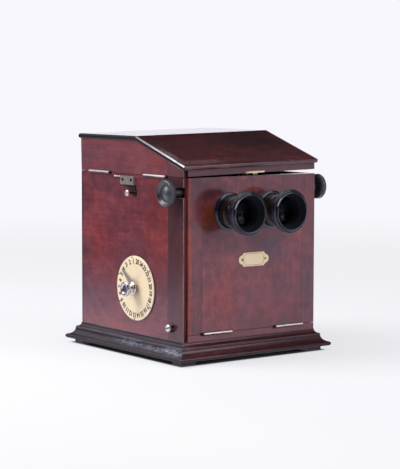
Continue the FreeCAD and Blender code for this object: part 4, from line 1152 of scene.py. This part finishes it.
class VIEWER_OT_dial(bpy.types.Operator):
    """Make the numbered dial with its nails"""
    bl_idname = "viewer.dial"
    bl_label = "Dial"

    nail_degrees = (9.6, 67.3, 120.0, 177.1, 237.1, 307.7)
    first_number_degrees = 5.5

    def execute(self, context):
        settings = context.scene.viewer_dial
        low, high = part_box("dial_disc")
        radius = (high.y - low.y) / 2
        thickness = high.x - low.x
        centre = axis_point("dial_disc", high.x)
        cream = dial_finish("dial_cream", settings.paper, centre, radius, thickness)
        hole = 4.2 * MM
        bevel = 0.7 * MM
        outline = [(0, hole), (0, radius), (thickness - bevel, radius),
                   (thickness, radius - bevel), (thickness, hole)]
        disc = turned("dial_face", cream, outline, 0.25 * MM, [(centre, -X, Y)], 160, closed=True)
        stands_for(disc, "dial_disc")
        self.number_ring(settings, centre - X * thickness, radius)
        self.nails(centre - X * thickness)
        return {"FINISHED"}

    def outward(self, degrees):
        """The direction on the dial's face that lies so far round from the top."""
        turn = math.radians(degrees)
        return Vector((0, math.sin(turn), math.cos(turn)))

    def number_ring(self, settings, centre, radius):
        ink = Finish("dial_ink", Roughness=0.45)
        fade = ink.noise(ink.place(), 500.0, 3.0, 0.6).ramp(0.45, 0.8)
        ink.set(Base_Color=ink.blend(fade * 0.2, (0.006, 0.005, 0.006), (0.06, 0.05, 0.04)))
        step = 360.0 / settings.numbers
        proud = 0.03 * MM
        rim_gap = 7.0 * MM
        narrowed = Matrix.Diagonal((0.92, 1.0, 0.2, 1.0))
        ring = bmesh.new()
        for number in range(1, settings.numbers + 1):
            out = self.outward(self.first_number_degrees + (number - 1) * step)
            place = Matrix((out.cross(-X), out, -X)).transposed().to_4x4()
            place.translation = centre - X * proud + out * (radius - rim_gap)
            mesh = self.number_mesh(str(number), settings.number_height)
            mesh.transform(place @ narrowed)
            ring.from_mesh(mesh)
        mesh = bpy.data.meshes.new("dial_numbers")
        ring.to_mesh(mesh)
        ring.free()
        numbers = shown("dial_numbers", mesh, ink)
        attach(numbers, "case")

    def number_mesh(self, figures, height):
        """Raised figures round the origin."""
        type_size_per_height = 1.38
        curve = bpy.data.curves.new("number", "FONT")
        curve.body = figures
        curve.size = height * type_size_per_height
        curve.align_x = "CENTER"
        curve.align_y = "CENTER"
        curve.bevel_depth = 0.34 * MM
        curve.space_character = 0.92
        text = bpy.data.objects.new("number", curve)
        bpy.context.scene.collection.objects.link(text)
        evaluated = text.evaluated_get(bpy.context.evaluated_depsgraph_get())
        mesh = bpy.data.meshes.new_from_object(evaluated)
        bpy.data.objects.remove(text)
        return mesh

    def nails(self, centre):
        steel = metal_finish("dial_nail_steel", (0.05, 0.04, 0.04), 0.4, age=0.5)
        nail_circle = 37.8 * MM
        places = [centre + self.outward(degrees) * nail_circle for degrees in self.nail_degrees]
        heads = grown("dial_nail_heads", nail_builder(), places, steel, Radius=1.1 * MM,
                      Height=0.5 * MM, Turn=Euler((0, QUARTER_TURN, 0)))
        stands_for(heads, "dial_nails")


class VIEWER_OT_selector(bpy.types.Operator):
    """Make the pointer and the turned knob of the slide selector"""
    bl_idname = "viewer.selector"
    bl_label = "Slide selector"

    def execute(self, context):
        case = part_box("left_side_panel")[0].x
        axis = axis_point("selector_knob", case)
        nickel = metal_finish("selector_nickel", (0.66, 0.62, 0.63), 0.20, (0.22, 0.17, 0.16), 0.3)
        grey = metal_finish("pointer_grey", (0.42, 0.38, 0.34), 0.42, (0.20, 0.16, 0.13), 0.3,
                            metallic=0.8)
        # The darker metal inside the spool's hollow is painted shade.
        hollow = metal_finish("spool_hollow", (0.24, 0.19, 0.24), 0.4, (0.10, 0.07, 0.09))
        outline = [(3.3, 3.0), (3.3, 5.2), (4.2, 6.0), (4.9, 5.6), (5.5, 7.4), (6.2, 8.5),
                   (7.6, 8.6), (8.4, 7.6), (9.2, 5.4), (10.6, 4.6), (12.6, 4.6), (13.8, 5.6),
                   (14.6, 7.8), (15.4, 9.0), (16.9, 9.2), (17.9, 8.8), (18.4, 7.6), (18.2, 5.8),
                   (17.2, 4.6), (15.6, 4.2), (15.2, 0)]

        hollow_radius = 4.7 * MM
        hollow_start = 14.5 * MM

        def in_hollow(centre, _):
            out = math.hypot(centre.y - axis.y, centre.z - axis.z)
            return out < hollow_radius and case - centre.x > hollow_start

        spool = turned("selector_spool", nickel, in_mm(outline), 0.5 * MM, [(axis, -X, Y)], 96)
        stands_for(partly(spool, hollow, in_hollow), "selector_knob")
        eased("selector_pointer", grey, 0.2 * MM)
        kept(nickel, "selector_spindle")
        return {"FINISHED"}


class VIEWER_OT_crank(bpy.types.Operator):
    """Make the crank that lifts the slides"""
    bl_idname = "viewer.crank"
    bl_label = "Crank"

    def execute(self, context):
        brass = metal_finish("crank_brass", (0.62, 0.44, 0.20), 0.26, age=0.35)
        steel = metal_finish("crank_steel", (0.45, 0.43, 0.41), 0.3, (0.15, 0.10, 0.07), 0.3)
        black = black_lacquer_finish("crank_knob_black", wear=0.06, roughness=0.22)
        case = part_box("right_side_panel")[1].x
        end = (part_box("crank_knob")[1].x - case) / MM
        outline = [(2.4, 0), (2.4, 1.6), (5.4, 1.6), (5.4, 3.4), (7.4, 3.0), (10.4, 3.8),
                   (end - 4.5, 5.4), (end - 2.5, 5.9), (end - 0.8, 5.0), (end, 2.6), (end, 0)]
        places = [(axis_point("crank_knob", case), X, Y)]
        stands_for(turned("crank_handle", black, in_mm(outline), 0.9 * MM, places, 72),
                   "crank_knob")
        eased("crank_arm", brass, 0.35 * MM)
        kept(steel, "crank_spindle")
        kept(brass, "lift_gear")
        return {"FINISHED"}


def dark_screw_test():
    """A test for the small dark screws in the plate, and for the slot of the large one, whose
    black is painted shade.
    """
    low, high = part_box("side_screws")
    slot_floor = low.x + 1.3 * MM
    slot_reach = 2.9 * MM
    axis = axis_point("side_collar", slot_floor)

    def is_dark(centre, normal):
        if centre.z > (low.z + high.z) / 2:
            return True
        out = math.hypot(centre.y - axis.y, centre.z - axis.z)
        on_floor = normal.x < -0.9 and abs(centre.x - slot_floor) < 0.1 * MM
        return on_floor or (abs(normal.x) < 0.5 and out < slot_reach and centre.x < slot_floor)

    return is_dark


class VIEWER_OT_side_fittings(bpy.types.Operator):
    """Make the plate, leaf, wire, button and screws on the left side"""
    bl_idname = "viewer.side_fittings"
    bl_label = "Side fittings"

    def execute(self, context):
        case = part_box("left_side_panel")[0].x
        plate = metal_finish("release_plate_metal", (0.46, 0.41, 0.38), 0.38, (0.14, 0.10, 0.08),
                             0.5, metallic=0.8)
        leaf = metal_finish("release_leaf_metal", (0.10, 0.07, 0.05), 0.4, (0.05, 0.03, 0.02), 0.5)
        slot = metal_finish("dark_steel", (0.03, 0.022, 0.022), 0.5)
        pale = metal_finish("pale_steel", (0.80, 0.76, 0.72), 0.32, (0.30, 0.24, 0.20), 0.15,
                            metallic=0.75)
        black = black_lacquer_finish("fitting_black", wear=0.12, roughness=0.25)
        eased("release_plate", plate, 0.5 * MM)
        eased("release_leaf", leaf, 0.15 * MM)
        eased("keeper_wire", pale, 0.1 * MM)
        self.button(case, pale)
        outline = [(0, 1.5), (0, 5.4), (1.2, 5.4), (1.8, 4.9), (3.4, 4.9), (4.4, 4.3), (4.4, 1.5)]
        places = [(axis_point("side_collar", case), -X, Y)]
        collar = turned("side_collar_ring", black, in_mm(outline), 0.4 * MM, places, 64, 3, True)
        stands_for(collar, "side_collar")
        # The slot of the large screw is painted black as shade.
        eased("side_screws", pale, 0.12 * MM, inlay=slot, chosen=dark_screw_test())
        return {"FINISHED"}

    def button(self, case, finish):
        low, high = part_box("release_button")
        reach = (case - low.x) / MM
        inner = (case - high.x) / MM
        outline = [(inner, 0), (inner, 1.7), (reach - 2.8, 1.7), (reach - 2.8, 3.2),
                   (reach - 2.4, 3.7), (reach - 0.9, 3.7), (reach - 0.2, 2.9), (reach, 1.5),
                   (reach, 0)]
        brown = metal_finish("button_stem", (0.16, 0.11, 0.09), 0.4, (0.06, 0.04, 0.03))
        stem_end = (reach - 2.9) * MM

        def on_stem(centre, _):
            return case - centre.x < stem_end

        places = [(axis_point("release_button", case), -X, Y)]
        head = turned("release_button_head", finish, in_mm(outline), 0.4 * MM, places, 64)
        stands_for(partly(head, brown, on_stem), "release_button")


class VIEWER_OT_hinges(bpy.types.Operator):
    """Finish the hinges and the lid's catch"""
    bl_idname = "viewer.hinges"
    bl_label = "Hinges and catch"

    def execute(self, context):
        brass = metal_finish("hinge_brass", (0.84, 0.77, 0.73), 0.28, (0.26, 0.18, 0.15), 0.2,
                             metallic=0.9)
        grime = (0.10, 0.07, 0.07)
        gap_shade = (0.08, 0.05, 0.05)
        brown = (0.5, 0.4, 0.3)
        # Painted shade: the lower half of each hinge barrel and the barrels' ends are darkened.
        stained(brass, (((-100, 20, 218.2), (9, 300, 1.5), grime, 1.0),
                        ((0, -98, 32.9), (300, 9, 1.5), grime, 1.0),
                        ((-101, -64.2, 219.5), (9, 2.6, 9), grime, 1.0),
                        ((-101, 55.0, 219.5), (9, 2.6, 9), grime, 1.0),
                        ((-72.6, -98, 34), (2.6, 9, 9), grime, 1.0),
                        ((37.4, -98, 34), (2.6, 9, 9), grime, 1.0)))
        catch = metal_finish("catch_brass", (0.80, 0.62, 0.42), 0.35, age=0.35, metallic=0.7)
        # Painted shade on the catch's tongue, down in the lid's joint.
        stained(catch, (((6, -97.5, 220.4), (3.6, 9, 2.2), gap_shade, 1.0),
                        ((-8, -97.5, 223.5), (5, 9, 9), brown, 0.6)))
        for node in ("hinge_fixed_leaves", "door_hinge_leaves", "lid_hinge_leaves"):
            eased(node, brass, 0.12 * MM)
        kept(brass, "hinge_pins")
        eased("lid_catch", catch, 0.15 * MM)
        return {"FINISHED"}


class VIEWER_OT_mechanism(bpy.types.Operator):
    """Finish the pieces inside the case"""
    bl_idname = "viewer.mechanism"
    bl_label = "Mechanism"

    wooden = {"tray_runners": 1, "slide_tray": 0}
    blackened = ("gate_board", "light_baffle", "septum")
    brass = ("lift_guides", "spindle_bushes", "selector_gear", "tray_rack", "lift_frame",
             "focus_bearings", "lens_carriage", "focus_rack", "focus_gear")

    def execute(self, context):
        for node, grain in self.wooden.items():
            kept(plain_wood_finish(node + "_wood", (0.20, 0.10, 0.05), grain), node)
        black = plain_wood_finish("blackened_wood", (0.016, 0.015, 0.016), 0)
        metal = metal_finish("works_brass", (0.60, 0.43, 0.20), 0.3, age=0.5)
        steel = metal_finish("shaft_steel", (0.40, 0.38, 0.36), 0.3, (0.12, 0.08, 0.05), 0.4)
        frosted = glass_finish("ground_glass_finish", 0.5, (0.30, 0.32, 0.31), 0.08)
        kept(black, *self.blackened)
        kept(metal, *self.brass)
        kept(steel, "focus_shaft")
        kept(frosted, "ground_glass")
        return {"FINISHED"}


class VIEWER_OT_stage(bpy.types.Operator):
    """Make the floor, the surroundings, the lights and the camera"""
    bl_idname = "viewer.stage"
    bl_label = "Stage"

    camera_place = (-1.2528, -1.6743, 0.33515)
    camera_yaw = 36.729
    camera_pitch = 5.293
    camera_roll = 0.127
    focal_pixels = 1685.29
    picture_height = 469
    lamps_aim = (0, 0, 0.12)
    floor_half = 9.0
    backdrop = (0.935, 0.927, 0.975)
    black = (0, 0, 0)
    under_x = 0.113
    under_y = 0.122
    under_middle = 0.012

    def execute(self, context):
        scene = context.scene
        settings = scene.viewer_stage
        scene.view_settings.view_transform = "Standard"
        self.camera(scene)
        self.floor()
        self.surroundings(scene)
        self.lamp("side_softbox", settings.key, (-0.96, 0.59, 1.24), (1.0, 1.3),
                  (0.98, 0.98, 1.0))
        self.lamp("top_softbox", settings.top, (-0.15, -0.10, 1.6), (0.8, 0.8),
                  (0.97, 0.98, 1.03))
        self.lamp("front_softbox", settings.fill, (0.75, -1.75, 1.2), (1.3, 1.3),
                  (0.98, 0.98, 1.0))
        return {"FINISHED"}

    def camera(self, scene):
        data = bpy.data.cameras.new("viewpoint")
        data.sensor_width = 36.0
        data.lens = self.focal_pixels / self.picture_height * data.sensor_width
        data.clip_start = 0.05
        data.clip_end = 50.0
        camera = bpy.data.objects.new("viewpoint", data)
        yaw = math.radians(self.camera_yaw)
        pitch = math.radians(self.camera_pitch)
        ahead = Vector((math.sin(yaw) * math.cos(pitch), math.cos(yaw) * math.cos(pitch),
                        -math.sin(pitch)))
        turn = ahead.to_track_quat("-Z", "Y").to_matrix().to_4x4()
        roll = Matrix.Rotation(math.radians(self.camera_roll), 4, "Z")
        camera.matrix_world = Matrix.Translation(self.camera_place) @ turn @ roll
        scene.collection.objects.link(camera)
        scene.camera = camera

    def floor(self):
        half = self.floor_half
        corners = [(-half, -half, 0), (half, -half, 0), (half, half, 0), (-half, half, 0)]
        mesh = bpy.data.meshes.new("floor")
        mesh.from_pydata(corners, [], [(0, 1, 2, 3)])
        finish = Finish("floor_white", Base_Color=(0.80, 0.80, 0.82), Roughness=0.9,
                        Specular_IOR_Level=0.0)
        x, y, _ = finish.parts(finish.place())
        away = (x * x + y * y) ** 0.5
        rays = finish.node("ShaderNodeLightPath")
        real = Wire(finish, finish.shader.outputs[0])
        mirrored = self.mirrored_floor(finish, x, y, away)
        seen = self.seen_floor(finish, x, y, away)
        gloss = rays["Is Glossy Ray"].most(rays["Is Transmission Ray"])
        mixed = finish.either(gloss, real, mirrored)
        mixed = finish.either(rays["Is Camera Ray"], mixed, seen)
        finish.put(finish.tree.nodes["Material Output"].inputs[0], mixed)
        shown("floor", mesh, finish)

    def seen_floor(self, finish, x, y, away):
        """What the camera sees: a glowing pale floor, a little brighter to the left as painted
        light, whose glow is cut out under the base as painted shade, leaving the floor's own
        shading there, and which fades to the backdrop.
        """
        # The glow: a little brighter to the left as painted light, and black under the base as
        # painted shade.
        beside = x.size().ramp(self.under_x - 5 * MM, self.under_x)
        before = (y - self.under_middle).size().ramp(self.under_y - 5 * MM, self.under_y)
        under = (1 - beside) * (1 - before)
        open_floor = finish.blend(x.ramp(-0.32, -0.12), (0.65, 0.65, 0.65), (0.625, 0.63, 0.655))
        glow = finish.emission(finish.blend(under, open_floor, self.black))
        matt = finish.node("ShaderNodeBsdfDiffuse", None, {"Color": (0.26, 0.26, 0.265)})[0]
        near = finish.node("ShaderNodeAddShader", None, {0: matt, 1: glow})[0]
        return finish.either(away.ramp(0.35, 2.2), near, finish.emission(self.backdrop))

    def mirrored_floor(self, finish, x, y, away):
        """What metal and glass mirror: a pale floor that dims far off at the left and behind."""
        front_right = (x * 0.6 - y * 0.8).ramp(-0.25, 0.15)
        level = front_right.most(1 - away.ramp(0.30, 1.1) * 0.90)
        return finish.emission(finish.blend(level, self.black, (1.02, 1.01, 1.20)))

    def surroundings(self, scene):
        world = bpy.data.worlds.new("studio")
        scene.world = world
        world.use_nodes = True
        room = Nodes(world.node_tree)
        x, y, z = room.parts(room.node("ShaderNodeTexCoord")["Generated"])
        rays = room.node("ShaderNodeLightPath")
        horizon = (1 - z.ramp(0.12, 0.25)) * x.ramp(-0.1, 0.3) * y.ramp(-0.3, 0.2)
        sweep = (y * 0.8 + z * 0.54 - x * 0.26).ramp(0.86, 0.98)
        level = 0.010 + horizon * 0.72 + sweep * 0.25
        mirrored = room.blend(level, self.black, (1.9, 1.92, 2.08))
        ambient = scene.viewer_stage.ambient
        plain = (ambient, ambient * 0.985, ambient * 1.03)
        gloss = rays["Is Glossy Ray"].most(rays["Is Transmission Ray"])
        colour = room.blend(gloss, plain, mirrored)
        colour = room.blend(rays["Is Camera Ray"], colour, self.backdrop)
        back = room.tree.nodes["Background"]
        room.put(back.inputs["Color"], colour)
        room.put(back.inputs["Strength"], 1.0)

    def lamp(self, name, power, place, size, colour):
        data = bpy.data.lights.new(name, "AREA")
        data.energy = power
        data.shape = "RECTANGLE"
        data.size, data.size_y = size
        data.color = colour
        lamp = bpy.data.objects.new(name, data)
        aim = (Vector(self.lamps_aim) - Vector(place)).to_track_quat("-Z", "Y")
        lamp.matrix_world = Matrix.Translation(place) @ aim.to_matrix().to_4x4()
        bpy.context.scene.collection.objects.link(lamp)


class VIEWER_PT_pieces(bpy.types.Panel):
    """Lists the viewer's pieces in the sidebar"""
    bl_label = "Stereo viewer"
    bl_idname = "VIEWER_PT_pieces"
    bl_space_type = "VIEW_3D"
    bl_region_type = "UI"
    bl_category = "Viewer"

    def draw(self, context):
        scene = context.scene
        for group in (scene.viewer_wood, scene.viewer_eyepieces, scene.viewer_dial,
                      scene.viewer_stage):
            for name in group.__annotations__:
                self.layout.prop(group, name)
        for operator in operators:
            self.layout.operator(operator.bl_idname)


operators = (VIEWER_OT_case, VIEWER_OT_base, VIEWER_OT_lid, VIEWER_OT_door,
             VIEWER_OT_eyepieces, VIEWER_OT_focus_knobs, VIEWER_OT_dial, VIEWER_OT_selector,
             VIEWER_OT_crank, VIEWER_OT_side_fittings, VIEWER_OT_hinges,
             VIEWER_OT_mechanism, VIEWER_OT_stage)
settings_groups = {"viewer_wood": WoodSettings, "viewer_eyepieces": EyepieceSettings,
                   "viewer_dial": DialSettings, "viewer_stage": StageSettings}


def register():
    for group in settings_groups.values():
        bpy.utils.register_class(group)
    for name, group in settings_groups.items():
        setattr(bpy.types.Scene, name, PointerProperty(type=group))
    for operator in operators:
        bpy.utils.register_class(operator)
    bpy.utils.register_class(VIEWER_PT_pieces)


def unregister():
    bpy.utils.unregister_class(VIEWER_PT_pieces)
    for operator in reversed(operators):
        bpy.utils.unregister_class(operator)
    for name, group in settings_groups.items():
        delattr(bpy.types.Scene, name)
        bpy.utils.unregister_class(group)


def main():
    register()
    for operator in operators:
        group, name = operator.bl_idname.split(".")
        getattr(getattr(bpy.ops, group), name)()


if __name__ == "__main__":
    main()
